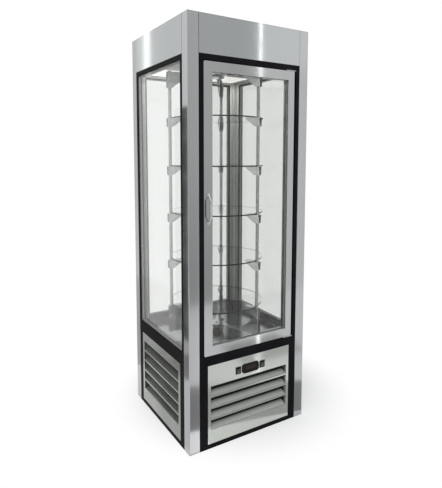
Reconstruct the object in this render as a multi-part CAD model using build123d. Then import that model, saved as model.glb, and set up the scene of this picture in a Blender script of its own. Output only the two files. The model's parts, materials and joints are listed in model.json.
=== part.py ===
from build123d import *
from math import cos, radians, sin
import os

# A refrigerated cake display case with a turning stack of round glass shelves.
# Millimetres. X runs across the front, Y from the front to the back, Z up.
# The origin is on the underside, on the axis that the shelves turn about.

# Cabinet
cabinet_width = 628
cabinet_depth = 604
cabinet_height = 1850
header_height = 158
lid_thickness = 1.5
lid_lip_inset = 34
lid_lip_depth = 12
sheet = 1.2

# Fits and clearances
seam = 0.3
running_fit = 0.05
slip_fit = 0.1
overrun = 4

# Corner posts
post_width = 51
post_wall = 1.5
post_radius = 3

# Black frames on the four faces
base_rail_height = 21
mid_rail_bottom = 378
side_sill_height = 60
front_sill_height = 40
lintel_height = 23
side_stile_width = 17
front_stile_width = 19.2
side_lower_stile_width = 35
front_lower_stile_width = 39
frame_lip = 3
bead_depth = 4.6
bead_width = 8
bead_thickness = 1.5
ledge_reach = 12
ledge_thickness = 4
header_flange = 26

# Double glazing
pane_thickness = 4
pane_gap = 12
glass_edge_cover = 8
glass_edge_play = 1
spacer_width = 6

# Door
door_side_gap = 2.5
door_end_gap = 4.5
door_depth = 34
door_rail_width = 41
door_corner_radius = 7
door_hinge_round = 10
door_front_lip = 3
gasket_thickness = 8
gasket_width = 13
gasket_hollow_wall = 2
gasket_inset = 12
stop_thickness = 4
stop_reach = 35.5
stop_rise = 24

# Door hinges
hinge_plate_length = 52
hinge_plate_depth = 34
hinge_plate_thickness = 3
hinge_pin_radius = 4
hinge_pin_length = 14

# Door handle
handle_rod_radius = 4.5
handle_height = 118
handle_offset = 16.5
handle_projection = 28
handle_slope_height = 30
handle_bend_radius = 18
handle_foot_radius = 8
handle_foot_thickness = 4

# Floor and ceiling of the display space
floor_build = 22
deck_upturn = 34
ceiling_drop = 8
ceiling_lower_depth = 10
ceiling_upper_depth = 20
ceiling_rest_gap = 4
lamp_end_gap = 50
lamp_back_gap = 30
lamp_width = 172
lamp_thickness = 8
vent_skin = 2
vent_slot_count = 9
vent_slot_width = 6

# Carousel
carousel_wall_gap = 5.2
rod_radius = 8
rod_count = 3
first_rod_angle = -66.7
rod_overhang = 4
shelf_count = 5
shelf_rod_gap = 1
shelf_thickness = 6
shelf_edge_chamfer = 1
lowest_bay = 126
highest_bay = 206.6
bracket_top_width = 25
bracket_sheet = 1.2
bracket_outer_lip = 5
bracket_reach = 60
bracket_drop = 40
bracket_tip = 6
bracket_foot = 24
gusset_reach = 85
gusset_drop = 68
gusset_tip = 7
spider_hub_radius = 37.5
spider_hub_height = 12
spider_arm_width = 25
spider_arm_thickness = 5
spider_eye_radius = 15.5
lower_spider_rise = 38
upper_spider_drop = 15
drive_shaft_radius = 8
bearing_sleeve_radius = 17
bearing_flange_radius = 32
bearing_flange_thickness = 6
pivot_pin_radius = 6
pivot_flange_radius = 30
pivot_flange_thickness = 4

# Carousel drive
gearbox_length = 112
gearbox_width = 84
gearbox_height = 46
gearbox_corner = 6
gear_motor_radius = 33
gear_motor_height = 58
gear_motor_offset = 18
shaft_socket_depth = 36

# Louvred panels
louvre_depth = 38
louvre_rise = 13
louvre_lip = 7
louvre_end_margin = 14.5
side_louvre_end_margin = 19
louvre_end_gap = 0.6
louvre_band = 63
side_louvre_drop = 42
front_louvre_count = 4
side_louvre_count = 5
louvre_strap_width = 14
louvre_strap_offset = -40
panel_return_depth = 40

# Controller and switches on the front panel
controls_margin = 36
controls_louvre_gap = 21.5
controller_width = 91
controller_height = 42
controller_end_radius = 12
controller_projection = 5
controller_body_width = 71
controller_body_height = 29
controller_body_depth = 58
controller_window_width = 58
controller_window_height = 26
controller_window_sink = 1.2
switch_gap = 6.5
switch_width = 28
switch_height = 33
switch_flange = 2
switch_body_margin = 2.2
switch_body_depth = 20
switch_wall = 1.5
rocker_gap = 0.5
rocker_tilt = 7
rocker_pivot_sink = 4
rocker_thickness = 7
rocker_crest = 2.6
rocker_valley = 1.2
rocker_pin_radius = 1.5
rocker_pin_reach = 0.9

# Base and cooling machinery
tray_thickness = 1.5
tray_upturn = 16
compressor_side_gap = 36
compressor_back_gap = 50
compressor_radius = 76
compressor_height = 172
compressor_dome_share = 0.3
compressor_seam_lip = 4
compressor_seam_half_height = 3
compressor_foot_length = 196
compressor_foot_width = 122
compressor_foot_thickness = 3
compressor_stub_radius = 5
compressor_stub_length = 26
mount_radius = 12
mount_height = 18
mount_inset = 16
coil_side_gap = 58
coil_front_gap = 72
coil_length = 200
coil_depth = 44
coil_height = 208
coil_end_plate = 2
coil_end_margin = 5
condenser_bend_count = 5
evaporator_bend_count = 3
bend_radius_share = 0.25
bend_tube_radius = 4
shroud_depth = 30
shroud_wall = 1.5
shroud_collar = 3
fan_radius = 86
fan_tip_gap = 4
fan_hub_radius = 22
fan_hub_depth = 24
fan_blade_count = 5
fan_blade_thickness = 2
fan_blade_chord = 62
fan_blade_pitch = 24
fan_shaft_radius = 3
fan_shaft_bite = 14
motor_radius = 27
motor_length = 44
motor_bar_width = 14
motor_bar_thickness = 3
motor_gap = 3
drip_tray_side_gap = 42
drip_tray_back_gap = 24
drip_tray_compressor_gap = 68
drip_tray_width = 142
drip_tray_height = 38
drip_tray_wall = 2
evaporator_end_gap = 98
evaporator_back_gap = 40
evaporator_width = 152
evaporator_height = 96
evaporator_fan_side_gap = 92
evaporator_fan_front_gap = 88
evaporator_fan_radius = 68

# Places worked out from the sizes above
half_width = cabinet_width / 2
half_depth = cabinet_depth / 2
lid_bottom = cabinet_height - lid_thickness
frame_top = cabinet_height - header_height
front_span = half_width - post_width - seam
side_span = half_depth - post_width - seam
glass_unit = 2 * pane_thickness + pane_gap
wall_depth = frame_lip + glass_unit + bead_depth + 2 * seam
door_back = door_depth + gasket_thickness + seam
front_frame_depth = door_back + stop_thickness
inner_x = half_width - wall_depth
inner_front = front_frame_depth - half_depth
inner_back = half_depth - wall_depth
lintel_bottom = frame_top - lintel_height
side_sill_top = mid_rail_bottom + side_sill_height
front_sill_top = mid_rail_bottom + front_sill_height
door_half_width = front_span - front_stile_width - door_side_gap
door_bottom = front_sill_top + door_end_gap
door_top = lintel_bottom - door_end_gap
handle_middle = (door_bottom + door_top) / 2 + handle_offset
hinge_x = door_half_width - door_hinge_round
hinge_y = door_hinge_round - half_depth

# Floor, ceiling and lamp
deck_height = mid_rail_bottom + floor_build
slab_bottom = mid_rail_bottom + ledge_thickness + seam
liner_bottom = deck_height - sheet
ceiling_height = frame_top - ceiling_drop
ceiling_step = ceiling_height + ceiling_lower_depth
ceiling_top = ceiling_step + ceiling_upper_depth
lamp_half_length = inner_x - lamp_end_gap
lamp_back = inner_back - lamp_back_gap
lamp_front = lamp_back - lamp_width

# Carousel
room_radius = min(inner_x, -inner_front, inner_back)
rod_circle_radius = room_radius - carousel_wall_gap - spider_eye_radius
rod_angles = [first_rod_angle + 360 / rod_count * k for k in range(rod_count)]
shelf_radius = rod_circle_radius - rod_radius - shelf_rod_gap
bracket_bottom_width = 2 * (rod_radius + slip_fit + bracket_sheet)
lower_spider_top = deck_height + lower_spider_rise
upper_spider_top = ceiling_height - upper_spider_drop
lowest_shelf_top = lower_spider_top + lowest_bay
highest_shelf_top = upper_spider_top - highest_bay
shelf_pitch = (highest_shelf_top - lowest_shelf_top) / (shelf_count - 1)

# Controls
controls_height = mid_rail_bottom - controls_margin - controller_height / 2
switch_spacing = (controller_width + switch_width) / 2 + switch_gap
front_louvre_top = controls_height - switch_height / 2 - controls_louvre_gap
side_louvre_top = mid_rail_bottom - side_louvre_drop

# Machinery, set off from the panels' folded edges
plant_x = half_width - panel_return_depth
plant_y = half_depth - panel_return_depth
tray_top = tray_thickness
compressor_x = plant_x - compressor_side_gap - compressor_foot_length / 2
compressor_y = plant_y - compressor_back_gap - compressor_radius - compressor_stub_length
coil_left = coil_side_gap - plant_x
coil_front = coil_front_gap - plant_y
coil_middle_x = coil_left + coil_length / 2
coil_middle_z = tray_top + coil_height / 2
shroud_front = coil_front + coil_depth + seam
shroud_back = shroud_front + shroud_depth
throat_radius = fan_radius + fan_tip_gap
drip_tray_left = drip_tray_side_gap - plant_x
drip_tray_right = compressor_x - compressor_foot_length / 2 - drip_tray_compressor_gap
drip_tray_front = plant_y - drip_tray_back_gap - drip_tray_width
evaporator_half_length = half_width - header_flange - evaporator_end_gap
evaporator_back = half_depth - header_flange - evaporator_back_gap
evaporator_front = evaporator_back - evaporator_width
evaporator_fan_x = evaporator_fan_side_gap + evaporator_fan_radius + header_flange - half_width
evaporator_fan_y = evaporator_fan_front_gap + evaporator_fan_radius + header_flange - half_depth

face_turns = {"front": 0, "left": -90, "right": 90, "back": 180}
face_reaches = {"front": half_depth, "left": half_width, "right": half_width, "back": half_depth}


# Helpers for plain shapes and for placing them

def block(x0, x1, y0, y1, z0, z1):
    """Box between two opposite corners."""
    box = Box(x1 - x0, y1 - y0, z1 - z0, align=(Align.MIN, Align.MIN, Align.MIN))
    return Pos(x0, y0, z0) * box


def disc(radius, z0, z1, x=0, y=0):
    """Upright cylinder between two heights."""
    rod = Cylinder(radius, z1 - z0, align=(Align.CENTER, Align.CENTER, Align.MIN))
    return Pos(x, y, z0) * rod


def rod_along_y(radius, y0, y1, x, z):
    """Cylinder that runs from front to back."""
    rod = Cylinder(radius, y1 - y0, align=(Align.CENTER, Align.CENTER, Align.MIN))
    return Pos(x, y0, z) * Rot(-90, 0, 0) * rod


def bar_along_x(points, x0, x1):
    """Outline in the Y-Z plane, run from x0 to x1."""
    face = make_face(Polyline(*points, close=True))
    return Pos(x0, 0, 0) * extrude(Plane.YZ * face, x1 - x0)


def on_face(shape, face):
    """Place a shape drawn for the front, its outer plane at y = 0, on a face of the cabinet."""
    return Rot(0, 0, face_turns[face]) * Pos(0, -face_reaches[face], 0) * shape


def group(shapes):
    """Several separate solids in one node."""
    return Compound(children=[solid for shape in shapes for solid in shape.solids()])


def ring_block(half_x, half_inner_x, y0, y1, z0, z1, rim_z):
    """Rectangular ring in a face's plane: outer and inner half widths, and its rim's height."""
    outer = block(-half_x, half_x, y0, y1, z0, z1)
    window = block(-half_inner_x, half_inner_x, y0 - overrun, y1 + overrun, z0 + rim_z, z1 - rim_z)
    return outer - window


def corner_notches(reach_z0, reach_z1, wall=0):
    """The four square columns that the posts take, grown by a wall, as cutting tools."""
    x0 = half_width - post_width - seam - wall
    y0 = half_depth - post_width - seam - wall
    tools = []
    for sx in (-1, 1):
        for sy in (-1, 1):
            xs = sorted((sx * x0, sx * (half_width + overrun)))
            ys = sorted((sy * y0, sy * (half_depth + overrun)))
            tools.append(block(xs[0], xs[1], ys[0], ys[1], reach_z0 - overrun, reach_z1 + overrun))
    return tools


# Posts, headers and lid

def corner_post(sx, sy):
    """Square stainless tube from the floor to the lid."""
    height = lid_bottom - seam
    outer = extrude(RectangleRounded(post_width, post_width, post_radius), height)
    bore_width = post_width - 2 * post_wall
    bore = Pos(0, 0, -overrun) * extrude(Rectangle(bore_width, bore_width), height + 2 * overrun)
    x = sx * (half_width - post_width / 2)
    y = sy * (half_depth - post_width / 2)
    return Pos(x, y, 0) * (outer - bore)


def header(span):
    """Folded header: a skin with a flange turned in at its top and at its bottom."""
    bottom = frame_top + seam
    top = lid_bottom - seam
    outer = block(-span, span, 0, header_flange, bottom, top)
    reach = span + overrun
    return outer - block(-reach, reach, sheet, header_flange + overrun, bottom + sheet, top - sheet)


def roof_lid():
    """Flat lid, stiffened by lips turned down inside the headers."""
    plate = block(-half_width, half_width, -half_depth, half_depth, lid_bottom, cabinet_height)
    lip_x = half_width - lid_lip_inset
    lip_y = half_depth - lid_lip_inset
    lip_bottom = lid_bottom - lid_lip_depth
    lip = block(-lip_x, lip_x, -lip_y, lip_y, lip_bottom, cabinet_height - lid_thickness / 2)
    inside_x = lip_x - sheet
    inside_y = lip_y - sheet
    hollow = block(-inside_x, inside_x, -inside_y, inside_y, lip_bottom - overrun, lid_bottom)
    corners = []
    for tool in corner_notches(lip_bottom, lid_bottom):
        corners.append(tool & block(-half_width, half_width, -half_depth, half_depth, lip_bottom, lid_bottom))
    return plate + (lip - hollow - corners)


# Frames and fixed glazing

def glass_pocket(half_window, z0, z1, front):
    """Space in a frame that a glass unit's edge fills, as a cutting tool."""
    reach = half_window + glass_edge_cover
    depth = glass_unit + 2 * seam
    return block(-reach, reach, front, front + depth, z0 - glass_edge_cover, z1 + glass_edge_cover)


def side_frame(span):
    """Black frame of a glazed face, as bars: stiles, lintel, sill, lower jambs and base rail."""
    inner = span - side_stile_width
    lower = span - side_lower_stile_width
    pocket = glass_pocket(inner, side_sill_top, lintel_bottom, frame_lip)
    reach = inner + glass_edge_cover
    z0 = side_sill_top - glass_edge_cover
    z1 = lintel_bottom + glass_edge_cover
    bead_room = block(-reach, reach, frame_lip, wall_depth + overrun, z0, z1)
    bars = []
    for sx in (-1, 1):
        xs = sorted((sx * inner, sx * span))
        bars.append(block(xs[0], xs[1], 0, wall_depth, 0, frame_top) - bead_room)
        xs = sorted((sx * lower, sx * (inner - seam)))
        bars.append(block(xs[0], xs[1], 0, wall_depth, base_rail_height + seam, mid_rail_bottom - seam))
    rail = inner - seam
    bars.append(block(-rail, rail, 0, wall_depth, lintel_bottom, frame_top) - bead_room)
    ledge_top = mid_rail_bottom + ledge_thickness
    ledge = block(-rail, rail, wall_depth - frame_lip, wall_depth + ledge_reach, mid_rail_bottom, ledge_top)
    sill = block(-rail, rail, 0, wall_depth, mid_rail_bottom, side_sill_top) - bead_room
    bars.append(sill + ledge)
    bars.append(block(-rail, rail, 0, wall_depth, 0, base_rail_height))
    return [bar - pocket for bar in bars]


def front_frame():
    """Black frame round the door and the lower panel, with a stop that the door's seal meets."""
    inner = front_span - front_stile_width
    lower = front_span - front_lower_stile_width
    stop_x = inner - stop_reach
    stop_bottom = front_sill_top + stop_rise
    stop_top = lintel_bottom - stop_rise
    depth = front_frame_depth
    bars = []
    for sx in (-1, 1):
        xs = sorted((sx * inner, sx * front_span))
        stile = block(xs[0], xs[1], 0, depth, 0, frame_top)
        xs = sorted((sx * stop_x, sx * front_span))
        stop = block(xs[0], xs[1], door_back, depth, front_sill_top + seam, lintel_bottom - seam)
        bars.append(stile + stop)
        xs = sorted((sx * lower, sx * (inner - seam)))
        bars.append(block(xs[0], xs[1], 0, wall_depth, base_rail_height + seam, mid_rail_bottom - seam))
    rail = inner - seam
    stop_rail = stop_x - seam
    lintel = block(-rail, rail, 0, depth, lintel_bottom, frame_top)
    bars.append(lintel + block(-stop_rail, stop_rail, door_back, depth, stop_top, frame_top))
    sill = block(-rail, rail, 0, depth, mid_rail_bottom, front_sill_top)
    sill += block(-stop_rail, stop_rail, door_back, depth, mid_rail_bottom, stop_bottom)
    ledge_top = mid_rail_bottom + ledge_thickness
    sill += block(-rail, rail, depth - frame_lip, depth + ledge_reach, mid_rail_bottom, ledge_top)
    bars.append(sill)
    bars.append(block(-rail, rail, 0, depth, 0, base_rail_height))
    return bars


def panes(half_window, z0, z1, front):
    """The two panes of a double-glazed unit."""
    reach = half_window + glass_edge_cover - glass_edge_play
    low = z0 - glass_edge_cover + glass_edge_play
    high = z1 + glass_edge_cover - glass_edge_play
    back = front + pane_thickness + pane_gap
    outer = block(-reach, reach, front, front + pane_thickness, low, high)
    inner = block(-reach, reach, back, back + pane_thickness, low, high)
    return [outer, inner]


def spacer(half_window, z0, z1, front):
    """Edge spacer between the two panes."""
    reach = half_window + spacer_width
    y0 = front + pane_thickness + slip_fit
    y1 = front + pane_thickness + pane_gap - slip_fit
    return ring_block(reach, half_window, y0, y1, z0 - spacer_width, z1 + spacer_width, spacer_width)


def bead(half_window, z0, z1):
    """Glazing bead that holds the unit from inside: an L-shaped ring."""
    back = wall_depth
    front = wall_depth - bead_depth
    reach = half_window + glass_edge_cover - seam
    cover = glass_edge_cover - seam
    plate = ring_block(reach, half_window, front, front + bead_thickness, z0 - cover, z1 + cover, cover)
    wall = half_window + bead_thickness
    wall_cover = bead_thickness
    upstand = ring_block(wall, half_window, front, back, z0 - wall_cover, z1 + wall_cover, wall_cover)
    return plate + upstand


# Louvred panels

def louvred_panel(half_panel, end_margin, top, count, openings, strap_offsets):
    """Stainless panel with folded edges and a window of slanting blades welded to straps behind."""
    low = base_rail_height + seam
    high = mid_rail_bottom - seam
    half_window = half_panel - end_margin
    bottom = base_rail_height + louvre_band
    pitch = (top - bottom + louvre_lip) / count
    box = block(-half_panel, half_panel, 0, panel_return_depth, low, high)
    inside_x = half_panel - sheet
    hollow = block(-inside_x, inside_x, sheet, panel_return_depth + overrun, low + sheet, high - sheet)
    panel = box - hollow - block(-half_window, half_window, -overrun, sheet + overrun, bottom, top)
    for opening in openings:
        panel -= opening
    blade_x = half_window - louvre_end_gap
    blades = []
    for k in range(count):
        foot = top - pitch * (k + 1)
        knee = foot + louvre_lip
        tail = knee + louvre_rise
        inner_knee = knee + louvre_rise * sheet / louvre_depth - sheet
        outline = [(0, foot), (0, knee), (louvre_depth, tail), (louvre_depth, tail - sheet)]
        outline += [(sheet, inner_knee), (sheet, foot)]
        blades.append(bar_along_x(outline, -blade_x, blade_x))
    end_strap = blade_x - louvre_strap_width / 2
    straps = []
    for x in [-end_strap, end_strap] + strap_offsets:
        half = louvre_strap_width / 2
        y0 = panel_return_depth - 2 * sheet
        straps.append(block(x - half, x + half, y0, panel_return_depth, low, high))
    return panel + blades + straps


def control_openings():
    """Holes in the front panel for the controller and the two switches."""
    x = controller_body_width / 2 + slip_fit
    z = controller_body_height / 2 + slip_fit
    holes = [block(-x, x, -overrun, sheet + overrun, controls_height - z, controls_height + z)]
    for sx in (-1, 1):
        middle = sx * switch_spacing
        x = switch_width / 2 - switch_body_margin + slip_fit
        z = switch_height / 2 - switch_body_margin + slip_fit
        low = controls_height - z
        high = controls_height + z
        holes.append(block(middle - x, middle + x, -overrun, sheet + overrun, low, high))
    return holes


def front_face_plate(width, height, radius, y0, y1, x=0):
    """Plate with round corners, upright and facing the front, between two depths."""
    plate = extrude(RectangleRounded(width, height, radius), y1 - y0)
    return Pos(x, y1, controls_height) * Rot(90, 0, 0) * plate


def controller():
    """Temperature controller: a bezel with round ends, a sunk display window and its body."""
    radius = controller_end_radius
    bezel = front_face_plate(controller_width, controller_height, radius, -controller_projection, 0)
    rim = bezel.faces().sort_by(Axis.Y)[0].edges()
    bezel = fillet(rim, controller_window_sink)
    window_y = controller_window_sink - controller_projection
    window_radius = controller_window_sink
    window = front_face_plate(controller_window_width, controller_window_height, window_radius,
                              -controller_projection - overrun, window_y)
    x = controller_body_width / 2
    z = controller_body_height / 2
    low = controls_height - z
    body = block(-x, x, -controller_window_sink, controller_body_depth, low, controls_height + z)
    return bezel - window + body


def switch_bezel(middle):
    """Rocker switch housing: a thin flange and a box behind it, open at the front."""
    x = switch_width / 2
    z = switch_height / 2
    flange = block(middle - x, middle + x, -switch_flange, 0, controls_height - z, controls_height + z)
    x -= switch_body_margin
    z -= switch_body_margin
    low = controls_height - z
    body = block(middle - x, middle + x, -switch_flange, switch_body_depth, low, controls_height + z)
    x -= switch_wall
    z -= switch_wall
    back = switch_body_depth - switch_wall
    low = controls_height - z
    well = block(middle - x, middle + x, -switch_flange - overrun, back, low, controls_height + z)
    reach = x + rocker_pin_reach + slip_fit
    bore = Cylinder(rocker_pin_radius + running_fit, 2 * reach)
    bore = Pos(middle, rocker_pivot_sink, controls_height) * Rot(0, 90, 0) * bore
    return flange + body - well - bore


def rocker(middle):
    """Rocker with a shallow valley across its face and two trunnions, tipped to one side."""
    half_x = switch_width / 2 - switch_body_margin - switch_wall - rocker_gap
    half_z = switch_height / 2 - switch_body_margin - switch_wall - 2 * rocker_gap
    face = -switch_flange - rocker_crest
    back = face + rocker_thickness
    outline = [(face, -half_z), (face + rocker_valley, 0), (face, half_z), (back, half_z / 2)]
    outline += [(rocker_pivot_sink + 2 * rocker_pin_radius, 0), (back, -half_z / 2)]
    body = bar_along_x(outline, -half_x, half_x)
    reach = half_x + rocker_gap + rocker_pin_reach
    pin = Rot(0, 90, 0) * Cylinder(rocker_pin_radius, 2 * reach)
    body = Pos(0, -rocker_pivot_sink, 0) * body + pin
    return Pos(middle, rocker_pivot_sink, controls_height) * Rot(rocker_tilt, 0, 0) * body


# Door

def door_frame():
    """Stainless door ring, rounded down its hinge side, with a slot for the glass and two pin holes."""
    width = 2 * door_half_width
    plan = Rectangle(width, door_depth)
    corner = plan.vertices().group_by(Axis.X)[-1].sort_by(Axis.Y)[0]
    plan = fillet([corner], door_hinge_round)
    height = door_top - door_bottom
    slab = Pos(0, door_depth / 2, door_bottom) * extrude(plan, height)
    outline = extrude(RectangleRounded(width, height, door_corner_radius), door_depth)
    middle = (door_top + door_bottom) / 2
    slab = slab & (Pos(0, door_depth, middle) * Rot(90, 0, 0) * outline)
    half_window = door_half_width - door_rail_width
    z0 = door_bottom + door_rail_width
    z1 = door_top - door_rail_width
    slab -= block(-half_window, half_window, -overrun, door_depth + overrun, z0, z1)
    slab -= glass_pocket(half_window, z0, z1, door_front_lip)
    hole_radius = hinge_pin_radius + running_fit
    depth = hinge_pin_length
    for low, high in ((door_bottom - overrun, door_bottom + depth), (door_top - depth, door_top + overrun)):
        slab -= disc(hole_radius, low, high, hinge_x, hinge_y + half_depth)
    return slab


def door_gasket():
    """Hollow rubber seal on the back of the door ring."""
    half_x = door_half_width - gasket_inset
    y0 = door_depth
    y1 = door_depth + gasket_thickness
    z0 = door_bottom + gasket_inset
    z1 = door_top - gasket_inset
    ring = ring_block(half_x, half_x - gasket_width, y0, y1, z0, z1, gasket_width)
    wall = gasket_hollow_wall
    bore_x = half_x - wall
    bore_rim = gasket_width - 2 * wall
    bore = ring_block(bore_x, bore_x - bore_rim, y0 + wall, y1 - wall, z0 + wall, z1 - wall, bore_rim)
    return ring - bore


def door_handle():
    """Bow handle: a bent rod that springs from two round feet."""
    x = -door_half_width + door_rail_width / 2
    low = handle_middle - handle_height / 2
    high = handle_middle + handle_height / 2
    out = -handle_projection + handle_rod_radius
    start = (x, -handle_foot_thickness / 2, low)
    end = (x, -handle_foot_thickness / 2, high)
    lower = (x, out, low + handle_slope_height)
    upper = (x, out, high - handle_slope_height)
    path = FilletPolyline(start, lower, upper, end, radius=handle_bend_radius)
    section = Plane(origin=path @ 0, z_dir=path % 0) * Circle(handle_rod_radius)
    bow = sweep(section, path=path)
    bow = bow & block(x - overrun * 2, x + overrun * 2, -handle_projection - overrun, 0, low - overrun * 4,
                      high + overrun * 4)
    feet = [rod_along_y(handle_foot_radius, -handle_foot_thickness, 0, x, z) for z in (low, high)]
    return bow + feet


def hinge_plate(is_top):
    """Hinge plate with its pin: it lies on the frame, and the pin enters the door's end."""
    x0 = hinge_x + door_hinge_round - hinge_plate_length
    x1 = hinge_x + door_hinge_round + door_side_gap - seam
    gap = door_end_gap - hinge_plate_thickness
    if is_top:
        z0 = lintel_bottom - hinge_plate_thickness - slip_fit
        pin_low = door_top + gap - hinge_pin_length
        pin_high = lintel_bottom - slip_fit
    else:
        z0 = front_sill_top + slip_fit
        pin_low = front_sill_top + slip_fit
        pin_high = door_bottom - gap + hinge_pin_length
    plate = block(x0, x1, seam, hinge_plate_depth, z0, z0 + hinge_plate_thickness)
    pin = disc(hinge_pin_radius, pin_low, pin_high, hinge_x, hinge_y + half_depth)
    return plate + pin


# Floor and ceiling of the display space

def room_block(z0, z1, inset):
    """Block that fills the room inside the walls, less the posts, drawn in by an inset."""
    x = inner_x - seam - inset
    body = block(-x, x, inner_front + seam + inset, inner_back - seam - inset, z0, z1)
    return body - corner_notches(z0, z1)


def insulated_floor():
    """Foamed floor slab on the frames' ledges, bored for the drive."""
    slab = room_block(slab_bottom, liner_bottom - slip_fit, 0)
    return slab - disc(bearing_sleeve_radius + seam, slab_bottom - overrun, deck_height)


def deck_liner():
    """Stainless deck with its edges turned up round the room."""
    top = deck_height + deck_upturn
    outer = room_block(liner_bottom, top, 0)
    well = room_block(deck_height, top + overrun, sheet) - corner_notches(deck_height, top, sheet)
    return outer - well - disc(bearing_sleeve_radius + seam, liner_bottom - overrun, deck_height + overrun)


def insulated_ceiling():
    """Stepped foamed ceiling resting on the headers, with a lamp recess and slots under the fan."""
    lower = room_block(ceiling_height, ceiling_step, 0)
    x = half_width - sheet - ceiling_rest_gap
    y = half_depth - sheet - ceiling_rest_gap
    upper = block(-x, x, -y, y, ceiling_step, ceiling_top) - corner_notches(ceiling_step, ceiling_top)
    slab = lower + upper
    lamp_z = ceiling_height + lamp_thickness + seam
    reach = lamp_half_length + seam
    lamp_y0 = lamp_front - seam
    slab -= block(-reach, reach, lamp_y0, lamp_back + seam, ceiling_height - overrun, lamp_z)
    throat = evaporator_fan_radius + fan_tip_gap
    skin = ceiling_height + vent_skin
    slab -= disc(throat, skin, ceiling_top + overrun, evaporator_fan_x, evaporator_fan_y)
    pitch = 2 * throat / (vent_slot_count + 1)
    for k in range(vent_slot_count):
        offset = (k + 1) * pitch - throat
        half_slot = (throat**2 - offset**2) ** 0.5 - vent_slot_width
        x0 = evaporator_fan_x + offset - vent_slot_width / 2
        x1 = x0 + vent_slot_width
        y0 = evaporator_fan_y - half_slot
        slab -= block(x0, x1, y0, y0 + 2 * half_slot, ceiling_height - overrun, skin + overrun)
    return slab


def ceiling_lamp():
    """Flat lamp with a pale diffuser, let into the ceiling."""
    lens = block(-lamp_half_length, lamp_half_length, lamp_front, lamp_back, ceiling_height,
                 ceiling_height + lamp_thickness)
    rim = lens.faces().sort_by(Axis.Z)[0].edges()
    return chamfer(rim, vent_skin)


# Carousel

def folded_gusset(inner_radius, drop, tip):
    """Folded bracket hung from a plate at z = 0: two tapering cheeks clasp the rod."""
    outer_radius = rod_circle_radius + rod_radius + bracket_outer_lip
    outline = [(inner_radius, 0), (outer_radius, 0), (outer_radius, -drop)]
    outline += [(outer_radius - bracket_foot, -drop), (inner_radius, -tip)]
    side = extrude(Plane.XZ * make_face(Polyline(*outline, close=True)), bracket_top_width, both=True)
    half_top = bracket_top_width / 2
    half_foot = bracket_bottom_width / 2
    taper = [(-half_top, 0), (half_top, 0), (half_foot, -drop), (-half_foot, -drop)]
    body = side & extrude(Plane.YZ * make_face(Polyline(*taper, close=True)), outer_radius + overrun)
    half_top -= bracket_sheet
    half_foot -= bracket_sheet
    slope = (half_top - half_foot) / drop
    half_low = half_foot - slope * overrun
    low = -drop - overrun
    channel = [(-half_top, -bracket_sheet), (half_top, -bracket_sheet), (half_low, low), (-half_low, low)]
    body -= extrude(Plane.YZ * make_face(Polyline(*channel, close=True)), outer_radius + overrun)
    return body - disc(rod_radius + slip_fit, -bracket_sheet - overrun, overrun, rod_circle_radius)


def shelf_tops():
    """Heights of the shelves' upper faces, from the lowest up."""
    return [lowest_shelf_top + shelf_pitch * k for k in range(shelf_count)]


def shelf_brackets():
    """Every folded bracket of the carousel: under each shelf, and at the rods' two ends."""
    under_shelf = folded_gusset(rod_circle_radius - bracket_reach, bracket_drop, bracket_tip)
    at_end = folded_gusset(rod_circle_radius - gusset_reach, gusset_drop, gusset_tip)
    arm_bottom = upper_spider_top - spider_arm_thickness
    brackets = []
    for angle in rod_angles:
        for top in shelf_tops():
            seat = top - shelf_thickness - slip_fit
            brackets.append(Rot(0, 0, angle) * Pos(0, 0, seat) * under_shelf)
        brackets.append(Rot(0, 0, angle) * Pos(0, 0, arm_bottom - slip_fit) * at_end)
        foot = Pos(0, 0, lower_spider_top + slip_fit) * Rot(180, 0, 0) * at_end
        brackets.append(Rot(0, 0, angle) * foot)
    return brackets


def shelf(top):
    """Round glass shelf with eased edges."""
    plate = disc(shelf_radius, top - shelf_thickness, top)
    return chamfer(plate.edges(), shelf_edge_chamfer)


def carousel_rods():
    """Upright rods that carry the shelves."""
    low = lower_spider_top - spider_arm_thickness - rod_overhang
    high = upper_spider_top + rod_overhang
    rods = []
    for angle in rod_angles:
        x = rod_circle_radius * cos(radians(angle))
        y = rod_circle_radius * sin(radians(angle))
        rods.append(disc(rod_radius, low, high, x, y))
    return rods


def spider(top, hub_bottom, bore_radius):
    """Hub with a flat arm to each rod, and an eye at each arm's end."""
    arm_bottom = top - spider_arm_thickness
    body = disc(spider_hub_radius, hub_bottom, hub_bottom + spider_hub_height)
    for angle in rod_angles:
        half = spider_arm_width / 2
        arm = block(0, rod_circle_radius, -half, half, arm_bottom, top)
        arm += disc(spider_eye_radius, arm_bottom, top, rod_circle_radius)
        arm -= disc(rod_radius + slip_fit, arm_bottom - overrun, top + overrun, rod_circle_radius)
        body += Rot(0, 0, angle) * arm
    return body - disc(bore_radius, hub_bottom - overrun, top + spider_hub_height)


def lower_bearing():
    """Flanged bush on the deck that guides the drive shaft and bears the hub."""
    hub_bottom = lower_spider_top - spider_hub_height
    sleeve = disc(bearing_sleeve_radius, slab_bottom, hub_bottom - seam)
    flange_bottom = deck_height + slip_fit
    flange = disc(bearing_flange_radius, flange_bottom, flange_bottom + bearing_flange_thickness)
    return sleeve + flange - disc(drive_shaft_radius + running_fit, slab_bottom - overrun, lower_spider_top)


def drive_shaft():
    """Shaft from the gearbox up into the lower hub."""
    low = slab_bottom - shaft_socket_depth
    return disc(drive_shaft_radius, low, lower_spider_top + rod_overhang / 2)


def upper_pivot():
    """Fixed pin under the ceiling that steadies the upper hub."""
    flange_top = ceiling_height - slip_fit
    flange_bottom = flange_top - pivot_flange_thickness
    flange = disc(pivot_flange_radius, flange_bottom, flange_top)
    return flange + disc(pivot_pin_radius, upper_spider_top - spider_hub_height, flange_top)


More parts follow.
